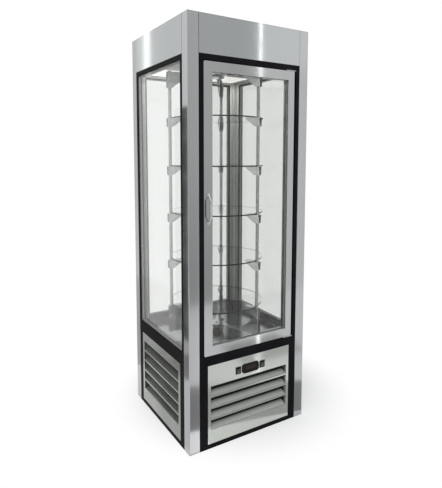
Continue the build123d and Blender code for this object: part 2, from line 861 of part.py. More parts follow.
def gearmotor():
    """Gearbox under the floor with its motor below, and a socket for the shaft."""
    top = slab_bottom - seam
    bottom = top - gearbox_height
    outline = RectangleRounded(gearbox_length, gearbox_width, gearbox_corner)
    box = Pos(gear_motor_offset, 0, bottom) * extrude(outline, gearbox_height)
    motor = disc(gear_motor_radius, bottom - gear_motor_height, bottom, 2 * gear_motor_offset)
    socket = disc(drive_shaft_radius + running_fit, top - shaft_socket_depth, top + overrun)
    return box + motor - socket


# Base and cooling machinery

def base_tray():
    """Folded base pan between the base rails; its underside is the cabinet's underside."""
    outer = room_block(0, tray_upturn, 0)
    well = room_block(tray_top, tray_upturn + overrun, tray_thickness)
    return outer - (well - corner_notches(0, tray_upturn, tray_thickness))


def compressor():
    """Hermetic compressor: a domed shell with a seam, on a foot plate, with a pipe stub."""
    foot_bottom = tray_top + mount_height + slip_fit
    foot_top = foot_bottom + compressor_foot_thickness
    dome = compressor_height * compressor_dome_share
    low = foot_top - compressor_foot_thickness / 2
    high = low + compressor_height
    shoulder = compressor_radius * (1 - compressor_dome_share)
    side = Line((compressor_radius, low + dome), (compressor_radius, high - dome))
    top_curve = TangentArc((compressor_radius, high - dome), (shoulder, high), tangent=(0, 1))
    low_curve = TangentArc((compressor_radius, low + dome), (shoulder, low), tangent=(0, -1))
    top_line = Line((shoulder, high), (0, high))
    axis_line = Line((0, high), (0, low))
    low_line = Line((0, low), (shoulder, low))
    profile = make_face([side, top_curve, top_line, axis_line, low_line, low_curve])
    shell = revolve(Plane.XZ * profile, Axis.Z)
    middle = (low + high) / 2
    lip_radius = compressor_radius + compressor_seam_lip
    half_seam = compressor_seam_half_height
    shell += disc(lip_radius, middle - half_seam, middle + half_seam)
    half_x = compressor_foot_length / 2
    half_y = compressor_foot_width / 2
    shell += block(-half_x, half_x, -half_y, half_y, foot_bottom, foot_top)
    stub_reach = compressor_radius + compressor_stub_length
    shell += rod_along_y(compressor_stub_radius, 0, stub_reach, 0, middle + dome)
    return Pos(compressor_x, compressor_y, 0) * shell


def compressor_mounts():
    """Four rubber mounts under the compressor's foot plate."""
    mounts = []
    for sx in (-1, 1):
        for sy in (-1, 1):
            x = compressor_x + sx * (compressor_foot_length / 2 - mount_inset)
            y = compressor_y + sy * (compressor_foot_width / 2 - mount_inset)
            mounts.append(disc(mount_radius, tray_top, tray_top + mount_height, x, y))
    return mounts


def finned_coil(x0, x1, y0, y1, z0, z1, bend_count):
    """Coil block between two end plates, with hairpin bends at its left end."""
    core_low = z0 + coil_end_margin
    inner_x0 = x0 + coil_end_plate
    inner_x1 = x1 - coil_end_plate
    body = block(inner_x0, inner_x1, y0, y1, core_low, z1 - coil_end_margin)
    body += block(x0, inner_x0, y0, y1, z0, z1)
    body += block(inner_x1, x1, y0, y1, z0, z1)
    pitch = (z1 - z0) / bend_count
    bend_radius = pitch * bend_radius_share
    ring = Rot(90, 0, 0) * Torus(bend_radius, bend_tube_radius)
    reach = bend_radius + 2 * bend_tube_radius
    half_ring = ring & block(-reach, 0, -reach, reach, -reach, reach)
    middle = (y0 + y1) / 2
    for k in range(bend_count):
        body += Pos(x0, middle, z0 + pitch * (k + 1 / 2)) * half_ring
    return body


def condenser():
    """Condenser coil standing on the tray behind the front louvres."""
    x1 = coil_left + coil_length
    back = coil_front + coil_depth
    top = tray_top + coil_height
    return finned_coil(coil_left, x1, coil_front, back, tray_top, top, condenser_bend_count)


def evaporator():
    """Evaporator coil on the ceiling, inside the headers."""
    x0 = -evaporator_half_length
    x1 = evaporator_half_length
    top = ceiling_top + evaporator_height
    return finned_coil(x0, x1, evaporator_front, evaporator_back, ceiling_top, top, evaporator_bend_count)


def fan_shroud():
    """Shroud that ducts the condenser's air to its fan."""
    x1 = coil_left + coil_length
    top = tray_top + coil_height
    body = block(coil_left, x1, shroud_front, shroud_back, tray_top, top)
    wall = shroud_wall
    back = shroud_back - wall
    body -= block(coil_left + wall, x1 - wall, shroud_front - overrun, back, tray_top + wall, top - wall)
    collar_front = shroud_back - fan_hub_depth
    collar_radius = throat_radius + shroud_collar
    body += rod_along_y(collar_radius, collar_front, shroud_back, coil_middle_x, coil_middle_z)
    front = shroud_front - overrun
    return body - rod_along_y(throat_radius, front, shroud_back + overrun, coil_middle_x, coil_middle_z)


def fan_rotor(radius):
    """Axial fan on the Z axis, its hub from z = 0 up, with a blind bore from above."""
    hub = disc(fan_hub_radius, 0, fan_hub_depth)
    rim = disc(radius, -overrun, fan_hub_depth + overrun)
    body = hub
    chord = fan_blade_chord / 2
    half = fan_blade_thickness / 2
    for k in range(fan_blade_count):
        blade = Rot(fan_blade_pitch, 0, 0) * block(fan_hub_radius / 2, radius * 2, -chord, chord, -half, half)
        blade = Pos(0, 0, fan_hub_depth / 2) * blade & rim
        body += Rot(0, 0, 360 / fan_blade_count * k) * blade
    bore_bottom = fan_hub_depth - fan_shaft_bite - seam
    return body - disc(fan_shaft_radius + running_fit, bore_bottom, fan_hub_depth + overrun)


def fan_motor(reach):
    """Fan motor on the Z axis: shaft down to the rotor, a crossed bracket and legs down to its seat."""
    bracket_bottom = fan_hub_depth + motor_gap
    bracket_top = bracket_bottom + motor_bar_thickness
    body = disc(motor_radius, bracket_bottom, bracket_bottom + motor_length)
    body += disc(fan_shaft_radius, fan_hub_depth - fan_shaft_bite, bracket_bottom)
    half = motor_bar_width / 2
    body += block(-reach, reach, -half, half, bracket_bottom, bracket_top)
    body += block(-half, half, -reach, reach, bracket_bottom, bracket_top)
    for turn in range(4):
        leg = block(reach - motor_bar_thickness, reach, -half, half, fan_hub_depth + seam, bracket_top)
        body += Rot(0, 0, 90 * turn) * leg
    return body


def at_condenser_fan(shape):
    """Turn a fan drawn on the Z axis to blow back from the condenser."""
    return Pos(coil_middle_x, shroud_back - fan_hub_depth, coil_middle_z) * Rot(-90, 0, 0) * shape


def at_evaporator_fan(shape):
    """Set a fan drawn on the Z axis into the ceiling's throat."""
    return Pos(evaporator_fan_x, evaporator_fan_y, ceiling_top - fan_hub_depth) * shape


def drip_tray():
    """Open pan for condensate, on the base tray."""
    x0 = drip_tray_left
    x1 = drip_tray_right
    y0 = drip_tray_front
    y1 = y0 + drip_tray_width
    z0 = tray_top + slip_fit
    wall = drip_tray_wall
    pan = block(x0, x1, y0, y1, z0, z0 + drip_tray_height)
    return pan - block(x0 + wall, x1 - wall, y0 + wall, y1 - wall, z0 + wall, z0 + drip_tray_height + overrun)


# The whole case

def build_parts():
    """Every node of the case, by name."""
    parts = {}
    for end, sy in (("front", -1), ("back", 1)):
        for side, sx in (("left", -1), ("right", 1)):
            parts["post_" + end + "_" + side] = corner_post(sx, sy)
    glazed = (("left", side_span), ("right", side_span), ("back", front_span))
    for face, span in (("front", front_span),) + glazed:
        parts["header_" + face] = on_face(header(span), face)
    parts["roof_lid"] = roof_lid()

    parts["frame_front"] = group(on_face(bar, "front") for bar in front_frame())
    spacers = []
    beads = []
    for face, span in glazed:
        window = span - side_stile_width
        parts["frame_" + face] = group(on_face(bar, face) for bar in side_frame(span))
        glass_front = frame_lip + seam
        unit = panes(window, side_sill_top, lintel_bottom, glass_front)
        parts["glazing_" + face] = group(on_face(pane, face) for pane in unit)
        spacers.append(on_face(spacer(window, side_sill_top, lintel_bottom, glass_front), face))
        beads.append(on_face(bead(window, side_sill_top, lintel_bottom), face))
    parts["glazing_spacers"] = group(spacers)
    parts["glazing_beads"] = group(beads)

    parts["insulated_floor"] = insulated_floor()
    parts["deck_liner"] = deck_liner()
    parts["insulated_ceiling"] = insulated_ceiling()
    parts["ceiling_lamp"] = ceiling_lamp()

    half_panel = front_span - front_lower_stile_width - seam
    front_panel = louvred_panel(half_panel, louvre_end_margin, front_louvre_top, front_louvre_count,
                                control_openings(), [])
    parts["grille_front"] = on_face(front_panel, "front")
    for face, span in glazed:
        half_panel = span - side_lower_stile_width - seam
        panel = louvred_panel(half_panel, side_louvre_end_margin, side_louvre_top, side_louvre_count,
                              [], [louvre_strap_offset])
        parts["grille_" + face] = on_face(panel, face)
    parts["controller"] = on_face(controller(), "front")
    parts["switch_bezels"] = group(on_face(switch_bezel(sx * switch_spacing), "front") for sx in (-1, 1))
    parts["switch_rocker_left"] = on_face(rocker(-switch_spacing), "front")
    parts["switch_rocker_right"] = on_face(rocker(switch_spacing), "front")

    half_window = door_half_width - door_rail_width
    z0 = door_bottom + door_rail_width
    z1 = door_top - door_rail_width
    glass_front = door_front_lip + seam
    parts["door_frame"] = on_face(door_frame(), "front")
    unit = panes(half_window, z0, z1, glass_front)
    parts["door_glazing"] = group(on_face(pane, "front") for pane in unit)
    parts["door_spacer"] = on_face(spacer(half_window, z0, z1, glass_front), "front")
    parts["door_gasket"] = on_face(door_gasket(), "front")
    parts["door_handle"] = on_face(door_handle(), "front")
    parts["hinge_plates"] = group(on_face(hinge_plate(is_top), "front") for is_top in (False, True))

    parts["lower_spider"] = spider(lower_spider_top, lower_spider_top - spider_hub_height,
                                   drive_shaft_radius + running_fit)
    parts["upper_spider"] = spider(upper_spider_top, upper_spider_top - spider_hub_height,
                                   pivot_pin_radius + running_fit)
    parts["carousel_rods"] = group(carousel_rods())
    parts["shelf_brackets"] = group(shelf_brackets())
    for number, top in enumerate(shelf_tops(), 1):
        parts["shelf_" + str(number)] = shelf(top)
    parts["drive_shaft"] = drive_shaft()
    parts["lower_bearing"] = lower_bearing()
    parts["upper_pivot"] = upper_pivot()
    parts["gearmotor"] = gearmotor()

    parts["base_tray"] = base_tray()
    parts["compressor"] = compressor()
    parts["compressor_mounts"] = group(compressor_mounts())
    parts["condenser"] = condenser()
    parts["condenser_fan_shroud"] = fan_shroud()
    parts["condenser_fan"] = at_condenser_fan(fan_rotor(fan_radius))
    motor_reach = throat_radius + shroud_collar + motor_bar_thickness
    parts["condenser_fan_motor"] = at_condenser_fan(fan_motor(motor_reach))
    parts["drip_tray"] = drip_tray()
    parts["evaporator"] = evaporator()
    parts["evaporator_fan"] = at_evaporator_fan(fan_rotor(evaporator_fan_radius))
    motor_reach = evaporator_fan_radius + fan_tip_gap + 2 * motor_bar_thickness
    parts["evaporator_fan_motor"] = at_evaporator_fan(fan_motor(motor_reach))
    return parts


os.makedirs("parts", exist_ok=True)
for part_name, part_shape in build_parts().items():
    export_step(part_shape, os.path.join("parts", part_name + ".step"))
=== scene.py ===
"""Dresses the cake display case: finishes for its metal, glass and plastic, fine pieces, and a plain studio."""

import json
import logging
import math
from contextlib import contextmanager
from dataclasses import dataclass, field
from enum import Enum
from functools import reduce
from typing import Callable, ClassVar, Iterator, Mapping, Optional, Union

import bpy
from mathutils import Matrix, Vector

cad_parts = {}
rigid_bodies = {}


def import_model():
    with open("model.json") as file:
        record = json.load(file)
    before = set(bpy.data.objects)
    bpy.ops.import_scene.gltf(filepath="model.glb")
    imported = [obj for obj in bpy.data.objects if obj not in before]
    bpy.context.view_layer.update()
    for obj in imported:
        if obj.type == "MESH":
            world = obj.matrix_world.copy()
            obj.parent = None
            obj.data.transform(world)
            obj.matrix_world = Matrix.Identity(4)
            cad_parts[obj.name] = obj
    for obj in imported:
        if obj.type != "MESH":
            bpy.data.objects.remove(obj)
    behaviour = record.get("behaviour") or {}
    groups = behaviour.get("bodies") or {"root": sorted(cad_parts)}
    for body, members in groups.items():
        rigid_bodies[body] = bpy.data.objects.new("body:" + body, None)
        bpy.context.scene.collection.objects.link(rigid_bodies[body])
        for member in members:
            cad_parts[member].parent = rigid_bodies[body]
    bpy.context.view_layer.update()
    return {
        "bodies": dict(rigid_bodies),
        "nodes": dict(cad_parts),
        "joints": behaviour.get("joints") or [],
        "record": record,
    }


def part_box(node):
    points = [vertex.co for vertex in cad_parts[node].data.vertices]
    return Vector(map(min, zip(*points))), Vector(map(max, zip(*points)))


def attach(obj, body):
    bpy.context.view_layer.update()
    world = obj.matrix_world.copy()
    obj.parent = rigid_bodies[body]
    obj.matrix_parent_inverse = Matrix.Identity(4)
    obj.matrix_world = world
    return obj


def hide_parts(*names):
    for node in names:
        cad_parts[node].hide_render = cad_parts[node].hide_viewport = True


log = logging.getLogger("cake_case")

Colour = tuple[float, float, float]
Point = tuple[float, float, float]
Pair = tuple[float, float]
Piece = bpy.types.Object
Material = bpy.types.Material
Socket = bpy.types.NodeSocket
Node = bpy.types.Node

CASE_HALF: Pair = (0.314, 0.302)
ROOM_HALF: Pair = (0.2925, 0.2795)
ROOM_HEIGHTS: Pair = (0.45, 1.66)
MAT_HEIGHT = 0.001

WHITE: Colour = (1.0, 1.0, 1.0)
SEEN_RAYS = ("Camera", "Glossy", "Transmission")
SHARP_ANGLE = math.radians(40.0)
TURN_TO_SIDE: Point = (0.0, math.pi / 2, 0.0)
TURN_TO_FRONT: Point = (math.pi / 2, 0.0, 0.0)


class Axis(Enum):
    """A direction of the case that a grain follows."""

    X = 0
    Y = 1
    Z = 2


class Body(Enum):
    """The bodies of the case that pieces ride on."""

    CABINET = "cabinet"
    DOOR = "door"
    CAROUSEL = "carousel"


# Shader tools


def rgba(colour: Colour, share: float = 1.0) -> tuple[float, float, float, float]:
    """The colour, made darker or paler by a share, with full alpha."""
    return (*(min(1.0, c * share) for c in colour), 1.0)


class Sheet:
    """A node tree that is filled with nodes one after another."""

    def __init__(self, tree: bpy.types.NodeTree, effects: Optional["Effects"] = None) -> None:
        """Starts with an empty tree.

        Args:
            tree: The node tree to fill.
            effects: The shader groups that it can place.
        """
        self.tree = tree
        self.effects = effects
        tree.nodes.clear()

    def feed(self, socket: Socket, value: object) -> None:
        """Links a socket to an input, or sets the input's value.

        Args:
            socket: The input.
            value: An output socket, or a plain value.
        """
        if isinstance(value, Socket):
            self.tree.links.new(value, socket)
        else:
            socket.default_value = value

    def put(self, kind: str, inputs: Mapping[Union[int, str], object], **settings: object) -> Node:
        """Adds a node, sets its properties and fills its inputs.

        Args:
            kind: The node's class without its ShaderNode prefix, or its whole name for group ends.
            inputs: Values or sockets by the input's place or name.
            settings: Values for the node's properties.

        Returns:
            The new node.
        """
        node = self.tree.nodes.new(kind if kind.startswith("NodeGroup") else "ShaderNode" + kind)
        for key, value in settings.items():
            setattr(node, key, value)
        for key, value in inputs.items():
            self.feed(node.inputs[key], value)
        return node

    def add(self, kind: str, **inputs: object) -> Node:
        """Adds a node and fills inputs by their names, with underscores for spaces."""
        return self.put(kind, {key.replace("_", " "): value for key, value in inputs.items()})

    def math(self, operation: str, first: object, second: object = 0.0, clamp: bool = False) -> Socket:
        """The result of a Math node."""
        return self.put("Math", {0: first, 1: second}, operation=operation, use_clamp=clamp).outputs[0]

    def vector(self, operation: str, first: object, second: object, result: str = "Vector") -> Socket:
        """The result of a Vector Math node."""
        return self.put("VectorMath", {0: first, 1: second}, operation=operation).outputs[result]

    def mix(self, factor: object, first: object, second: object) -> Socket:
        """Two colours, of which the second shows as much as the factor says."""
        return self.put("Mix", {0: factor, 6: first, 7: second}, data_type="RGBA").outputs[2]

    def blend(self, factor: object, first: Node, second: Node) -> Node:
        """Two shaders, of which the second shows as much as the factor says."""
        return self.put("MixShader", {0: factor, 1: first.outputs[0], 2: second.outputs[0]})

    def ramp(self, value: object, start: float = 0.0, end: float = 1.0, low: float = 0.0, high: float = 1.0,
             course: str = "LINEAR") -> Socket:
        """A value whose range from start to end is spread from low to high."""
        inputs = {0: value, 1: start, 2: end, 3: low, 4: high}
        return self.put("MapRange", inputs, interpolation_type=course).outputs["Result"]

    def spread(self, value: object, low: float, high: float) -> Socket:
        """A value from 0 to 1, spread from low to high."""
        return self.ramp(value, low=low, high=high)

    def spot(self) -> Socket:
        """The shaded point's place in the case's frame."""
        return self.add("TexCoord").outputs["Object"]

    def upright(self, vector: Optional[Socket] = None) -> Socket:
        """The upright part of a vector, or else the shaded point's height."""
        return self.add("SeparateXYZ", Vector=vector or self.spot()).outputs["Z"]

    def offsets(self) -> tuple[Socket, Socket]:
        """How far the shaded point lies from the case's middle, across and in depth."""
        place = self.add("SeparateXYZ", Vector=self.spot()).outputs
        return self.math("ABSOLUTE", place["X"]), self.math("ABSOLUTE", place["Y"])

    def noise(self, scale: object, detail: float, stretch: Optional[Socket] = None, swirl: float = 0.0) -> Socket:
        """Noise over the case's frame, which can be drawn out and distorted."""
        place = self.vector("MULTIPLY", self.spot(), stretch) if stretch else self.spot()
        return self.add("TexNoise", Vector=place, Scale=scale, Detail=detail, Distortion=swirl).outputs["Fac"]

    def rays(self, *kinds: str) -> Socket:
        """1 for rays of the kinds that Light Path names so, and 0 for all others."""
        path = self.add("LightPath").outputs
        return reduce(lambda *pair: self.math("MAXIMUM", *pair), (path["Is " + kind + " Ray"] for kind in kinds))

    def effect(self, name: str, **inputs: object) -> Socket:
        """The output of a shared group, placed with values of its own."""
        return self.put("Group", inputs, node_tree=self.effects.groups[name]).outputs[0]

    def gloss(self, colour: object, roughness: object, **inputs: object) -> Node:
        """A Principled shader, with its other inputs by their names."""
        return self.add("BsdfPrincipled", Base_Color=colour, Roughness=roughness, **inputs)

    def surface(self, shader: Node, end: str = "OutputMaterial") -> None:
        """Ends the tree with a shader."""
        self.add(end, Surface=shader.outputs[0])


Inputs = Mapping[str, Socket]


class Effects:
    """Shader groups that several finishes share, each built once."""

    fine_detail: ClassVar[float] = 3.0
    tone_detail: ClassVar[float] = 1.0
    tone_range: ClassVar[Pair] = (0.32, 0.68)
    marks_detail: ClassVar[float] = 4.0
    marks_swirl: ClassVar[float] = 0.6
    marks_range: ClassVar[Pair] = (0.45, 0.75)
    dust_scale: ClassVar[float] = 26.0
    dust_on_walls: ClassVar[float] = 0.12
    recess_range: ClassVar[Pair] = (0.0015, 0.036)

    def __init__(self) -> None:
        """Builds every group."""
        self.groups: dict[str, bpy.types.NodeTree] = {}
        self._group("grain", "drawn_grain", "Grain", self._grain, Stretch="Vector", Scale="Float")
        self._group("tone", "soft_tone", "Tone", self._tone, Stretch="Vector", Scale="Float")
        self._group("marks", "wiping_marks", "Mark", self._marks, Scale="Float")
        self._group("dust", "settled_dust", "Dust", self._dust, Amount="Float")
        self._group("inside", "room_side", "Inside", self._inside)
        self._group("height", "room_height", "Height", self._height)
        self._group("recess", "louvre_recess", "Recess", self._recess)

    def _group(self, key: str, name: str, output: str, fill: Callable[[Sheet, Inputs], Socket],
               **inputs: str) -> None:
        """Makes a group with one output.

        Args:
            key: What finishes call it.
            name: The group's name.
            output: The output's name.
            fill: Adds the nodes between the group's ends and gives the result's socket.
            inputs: The kinds of the inputs, by name.
        """
        group = bpy.data.node_groups.new(name, "ShaderNodeTree")
        for socket, kind in inputs.items():
            group.interface.new_socket(name=socket, in_out="INPUT", socket_type="NodeSocket" + kind)
        group.interface.new_socket(name=output, in_out="OUTPUT", socket_type="NodeSocketFloat")
        sheet = Sheet(group)
        sheet.put("NodeGroupOutput", {output: fill(sheet, sheet.add("NodeGroupInput").outputs)})
        self.groups[key] = group

    def _grain(self, sheet: Sheet, inputs: Inputs) -> Socket:
        """Fine drawn lines: noise squeezed across the grain and stretched along it."""
        return sheet.noise(inputs["Scale"], self.fine_detail, inputs["Stretch"])

    def _tone(self, sheet: Sheet, inputs: Inputs) -> Socket:
        """Broad soft bands, as sheet metal shows along its length."""
        bands = sheet.noise(inputs["Scale"], self.tone_detail, inputs["Stretch"])
        return sheet.ramp(bands, *self.tone_range, course="SMOOTHSTEP")

    def _marks(self, sheet: Sheet, inputs: Inputs) -> Socket:
        """Faint cloudy marks of wiping and handling."""
        return sheet.ramp(sheet.noise(inputs["Scale"], self.marks_detail, swirl=self.marks_swirl), *self.marks_range)

    def _dust(self, sheet: Sheet, inputs: Inputs) -> Socket:
        """Dust that lies on faces that look up, in patches.

        Args:
            sheet: The group's node tree.
            inputs: Its inputs.

        Returns:
            How much the dust hides.
        """
        up = sheet.math("MAXIMUM", sheet.upright(sheet.add("NewGeometry").outputs["Normal"]), self.dust_on_walls)
        patches = sheet.math("MULTIPLY", up, sheet.noise(self.dust_scale, self.fine_detail))
        return sheet.math("MULTIPLY", patches, inputs["Amount"], clamp=True)

    def _inside(self, sheet: Sheet, _: Inputs) -> Socket:
        """1 on faces that look into the cooled room, and 0 on the case's outside."""
        within = (sheet.math("LESS_THAN", *pair) for pair in zip(sheet.offsets(), ROOM_HALF))
        return sheet.math("MULTIPLY", *within)

    def _height(self, sheet: Sheet, _: Inputs) -> Socket:
        """From 0 at the room's deck to 1 at its ceiling, which spreads the inner faces' painted light from the
        ceiling lamp.
        """
        return sheet.ramp(sheet.upright(), *ROOM_HEIGHTS)

    def _recess(self, sheet: Sheet, _: Inputs) -> Socket:
        """From 0 just behind the base's outer faces to 1 at the inner edges of the louvre blades, where it masks
        their painted shade.
        """
        depths = (sheet.math("SUBTRACT", *pair) for pair in zip(CASE_HALF, sheet.offsets()))
        return sheet.ramp(sheet.math("MINIMUM", *depths), *self.recess_range)


def new_material(name: str, shade: Callable[[Sheet], Node], effects: Optional[Effects] = None) -> Material:
    """Makes a material.

    Args:
        name: The material's name.
        shade: Adds the shader to a sheet and gives its node.
        effects: The shader groups that it can place.

    Returns:
        The material.
    """
    material = bpy.data.materials.new(name)
    material.use_nodes = True
    sheet = Sheet(material.node_tree, effects)
    sheet.surface(shade(sheet))
    return material


# Finishes


@dataclass(frozen=True)
class Finish:
    """A finish of the case, which each subclass turns into a material."""

    name: str
    colour: Colour
    roughness: float = 0.4

    def build(self, effects: Effects) -> Material:
        """Makes the material.

        Args:
            effects: The shared shader groups.

        Returns:
            The finished material.
        """
        material = new_material(self.name, self.shade, effects)
        material.diffuse_color = rgba(self.colour)
        return material

    def shade(self, sheet: Sheet) -> Node:
        """Adds the shader, which each subclass gives."""
        raise NotImplementedError

    def toned(self, sheet: Sheet, mask: Socket, tone: float) -> Socket:
        """The finish's colour, made darker or paler where a mask shows."""
        return sheet.mix(mask, rgba(self.colour), rgba(self.colour, tone))

    def dulled(self, sheet: Sheet, mask: Socket, more: float, less: float = 0.0) -> Socket:
        """The finish's roughness, which a mask raises, or lowers where it is dark."""
        return sheet.spread(mask, self.roughness - less, self.roughness + more)


@dataclass(frozen=True)
class RoomSided(Finish):
    """A finish whose faces towards the cooled room can have their own colours, with painted light that makes them
    paler towards the ceiling lamp.

    Attributes:
        metal: How metallic it is.
        inner: The colour of its inner faces at the deck, where they get the least painted light, if they have their
            own.
        inner_high: Their colour at the ceiling, paler with painted light from the ceiling lamp.
    """

    metal: float = 1.0
    inner: Optional[Colour] = None
    inner_high: Optional[Colour] = None

    def inner_faces(self, sheet: Sheet, inside: Socket, colour: Socket) -> Socket:
        """The colour, with the inner faces' grey, painted paler towards the ceiling lamp as painted light, where the
        mask of them shows.
        """
        inner = sheet.mix(sheet.effect("height"), rgba(self.inner), rgba(self.inner_high))
        return sheet.mix(inside, colour, inner)


@dataclass(frozen=True)
class DrawnSteel(RoomSided):
    """Stainless sheet with a drawn grain and broad soft bands.

    Attributes:
        grain_axis: The direction of its grain.
        band_scale: How close its bands lie.
        band_depth: How much they differ from its colour.
        recess_shade: How much painted shade darkens the louvre blades towards their inner edges.
        blade_metal: How metallic the blades are.
        dark_above: The height above which it is dark, if there is one.
    """

    grain_axis: Axis = Axis.Z
    band_scale: float = 3.0
    band_depth: float = 0.12
    recess_shade: float = 0.0
    blade_metal: float = 0.3
    dark_above: float = 0.0
    grain_squeeze: float = 90.0
    grain_scale: float = 14.0
    grain_tone: float = 0.8
    grain_share: float = 0.5
    grain_swing: float = 0.03
    grain_depth: float = 0.0002
    grain_strength: float = 0.06
    band_squeeze: float = 0.06
    marks_scale: float = 6.0
    marks_dulling: float = 0.05
    inner_dulling: float = 0.3
    inner_metal: float = 0.3
    recess_curve: float = 4.0
    recess_start: float = 0.01
    dark_tone: float = 0.22

    def stretch(self, along: float, across: float) -> Point:
        """Scales of space along the grain and across it."""
        return tuple(along if axis is self.grain_axis else across for axis in Axis)

    def shade(self, sheet: Sheet) -> Node:
        """Metal whose colour varies in bands, with fine grain in its roughness and relief.

        Args:
            sheet: The material's node tree.

        Returns:
            The shader.
        """
        grain = sheet.effect("grain", Stretch=self.stretch(1.0, self.grain_squeeze), Scale=self.grain_scale)
        tone = sheet.effect("tone", Stretch=self.stretch(self.band_squeeze, 1.0), Scale=self.band_scale)
        marks = sheet.effect("marks", Scale=self.marks_scale)
        colour = sheet.mix(tone, rgba(self.colour, 1.0 - self.band_depth), rgba(self.colour, 1.0 + self.band_depth))
        colour = sheet.mix(sheet.spread(grain, 0.0, self.grain_share), colour, rgba(self.colour, self.grain_tone))
        inside = sheet.effect("inside") if self.inner else None
        if inside:
            grain = sheet.math("MULTIPLY", grain, sheet.spread(inside, 1.0, 0.0))
        lines = self.dulled(sheet, grain, self.grain_swing, self.grain_swing)
        rough = sheet.math("ADD", lines, sheet.spread(marks, 0.0, self.marks_dulling))
        metal = self.metal
        if inside:
            # Inner faces: their grey with painted light, paler towards the ceiling lamp and darker towards the deck.
            colour = self.inner_faces(sheet, inside, colour)
            rough = sheet.math("ADD", rough, sheet.spread(inside, 0.0, self.inner_dulling))
            metal = sheet.spread(inside, self.metal, self.inner_metal)
        # Painted shade: the louvre blades darken towards their inner edges, where shade falls between them.
        if self.recess_shade:
            recess = sheet.effect("recess")
            colour = sheet.mix(sheet.math("POWER", recess, self.recess_curve), colour,
                               rgba(self.colour, 1.0 - self.recess_shade))
            blades = sheet.math("GREATER_THAN", recess, self.recess_start)
            metal = sheet.spread(blades, self.metal, self.blade_metal)
        if self.dark_above:
            turned_up = sheet.math("GREATER_THAN", sheet.upright(), self.dark_above)
            colour = sheet.mix(turned_up, colour, rgba(self.colour, self.dark_tone))
        relief = sheet.add("Bump", Height=grain, Distance=self.grain_depth, Strength=self.grain_strength)
        return sheet.gloss(colour, rough, Metallic=metal, Normal=relief.outputs["Normal"])


@dataclass(frozen=True)
class PolishedSteel(Finish):
    """Bright polished steel with faint wiping marks."""

    marks_scale: float = 18.0
    marks_dulling: float = 0.08
    marks_tone: float = 0.86

    def shade(self, sheet: Sheet) -> Node:
        """Metal with a low roughness that the marks raise in places.

        Args:
            sheet: The material's node tree.

        Returns:
            The shader.
        """
        marks = sheet.effect("marks", Scale=self.marks_scale)
        rough = self.dulled(sheet, marks, self.marks_dulling)
        return sheet.gloss(self.toned(sheet, marks, self.marks_tone), rough, Metallic=1.0)


@dataclass(frozen=True)
class Moulded(RoomSided):
    """Plastic, rubber, paint or foam skin with a fine texture and light wear.

    Attributes:
        shine: How strongly it mirrors.
        coat: How much clear coat it has.
        wear: How strongly marks lighten it.
        dust: How much dust lies on it.
    """

    metal: float = 0.0
    shine: float = 0.25
    coat: float = 0.0
    wear: float = 0.35
    dust: float = 0.0
    texture_scale: float = 900.0
    texture_detail: float = 2.0
    texture_depth: float = 0.00004
    texture_strength: float = 0.35
    marks_scale: float = 11.0
    marks_dulling: float = 0.1
    worn_grey: float = 0.35
    worn_share: float = 0.12
    dust_colour: Colour = (0.34, 0.32, 0.29)

    def shade(self, sheet: Sheet) -> Node:
        """A coloured surface whose marks and dust lighten it and dull its gloss.

        Args:
            sheet: The material's node tree.

        Returns:
            The shader.
        """
        marks = sheet.effect("marks", Scale=self.marks_scale)
        worn = rgba(tuple(c + (self.worn_grey - c) * self.worn_share for c in self.colour))
        colour = sheet.mix(sheet.spread(marks, 0.0, self.wear), rgba(self.colour), worn)
        if self.inner:
            # Inner faces: their grey with painted light, paler towards the ceiling lamp and darker towards the deck.
            colour = self.inner_faces(sheet, sheet.effect("inside"), colour)
        if self.dust:
            layer = sheet.effect("dust", Amount=self.dust)
            colour = sheet.mix(layer, colour, rgba(self.dust_colour))
        texture = sheet.noise(self.texture_scale, self.texture_detail)
        relief = sheet.add("Bump", Height=texture, Distance=self.texture_depth, Strength=self.texture_strength)
        rough = sheet.math("ADD", sheet.spread(marks, 0.0, self.marks_dulling), self.roughness)
        return sheet.gloss(colour, rough, Metallic=self.metal, Normal=relief.outputs["Normal"],
                           Coat_Weight=self.coat, Specular_IOR_Level=self.shine)


@dataclass(frozen=True)
class Galvanised(Finish):
    """Zinc-coated sheet with its spangle."""

    metal: float = 0.9
    spangle_scale: float = 90.0
    spangle_tone: float = 1.18
    spangle_gloss: float = 0.08
    spangle_dulling: float = 0.1
    dust: float = 0.25
    dust_colour: Colour = (0.3, 0.28, 0.26)

    def shade(self, sheet: Sheet) -> Node:
        """Metal in crystal patches of slightly different tone.

        Args:
            sheet: The material's node tree.

        Returns:
            The shader.
        """
        cells = sheet.add("TexVoronoi", Vector=sheet.spot(), Scale=self.spangle_scale)
        tone = sheet.add("SeparateColor", Color=cells.outputs["Color"]).outputs[0]
        layer = sheet.effect("dust", Amount=self.dust)
        colour = sheet.mix(layer, self.toned(sheet, tone, self.spangle_tone), rgba(self.dust_colour))
        rough = self.dulled(sheet, tone, self.spangle_dulling, self.spangle_gloss)
        return sheet.gloss(colour, rough, Metallic=self.metal)


@dataclass(frozen=True)
class ClearGlass(Finish):
    """Clear glass that lets the lamps' light through."""

    bending: float = 1.45
    marks_scale: float = 4.0
    marks_share: float = 0.5
    marks_tone: float = 0.99
    film_tone: float = 0.97

    def shade(self, sheet: Sheet) -> Node:
        """Glass for what is seen, and a tinted film for rays from lamps.

        Args:
            sheet: The material's node tree.

        Returns:
            The shader.
        """
        marks = sheet.effect("marks", Scale=self.marks_scale)
        tint = self.toned(sheet, sheet.spread(marks, 0.0, self.marks_share), self.marks_tone)
        glass = sheet.gloss(tint, self.roughness, IOR=self.bending, Transmission_Weight=1.0)
        film = sheet.add("BsdfTransparent", Color=rgba(self.colour, self.film_tone))
        return sheet.blend(sheet.rays("Shadow"), glass, film)


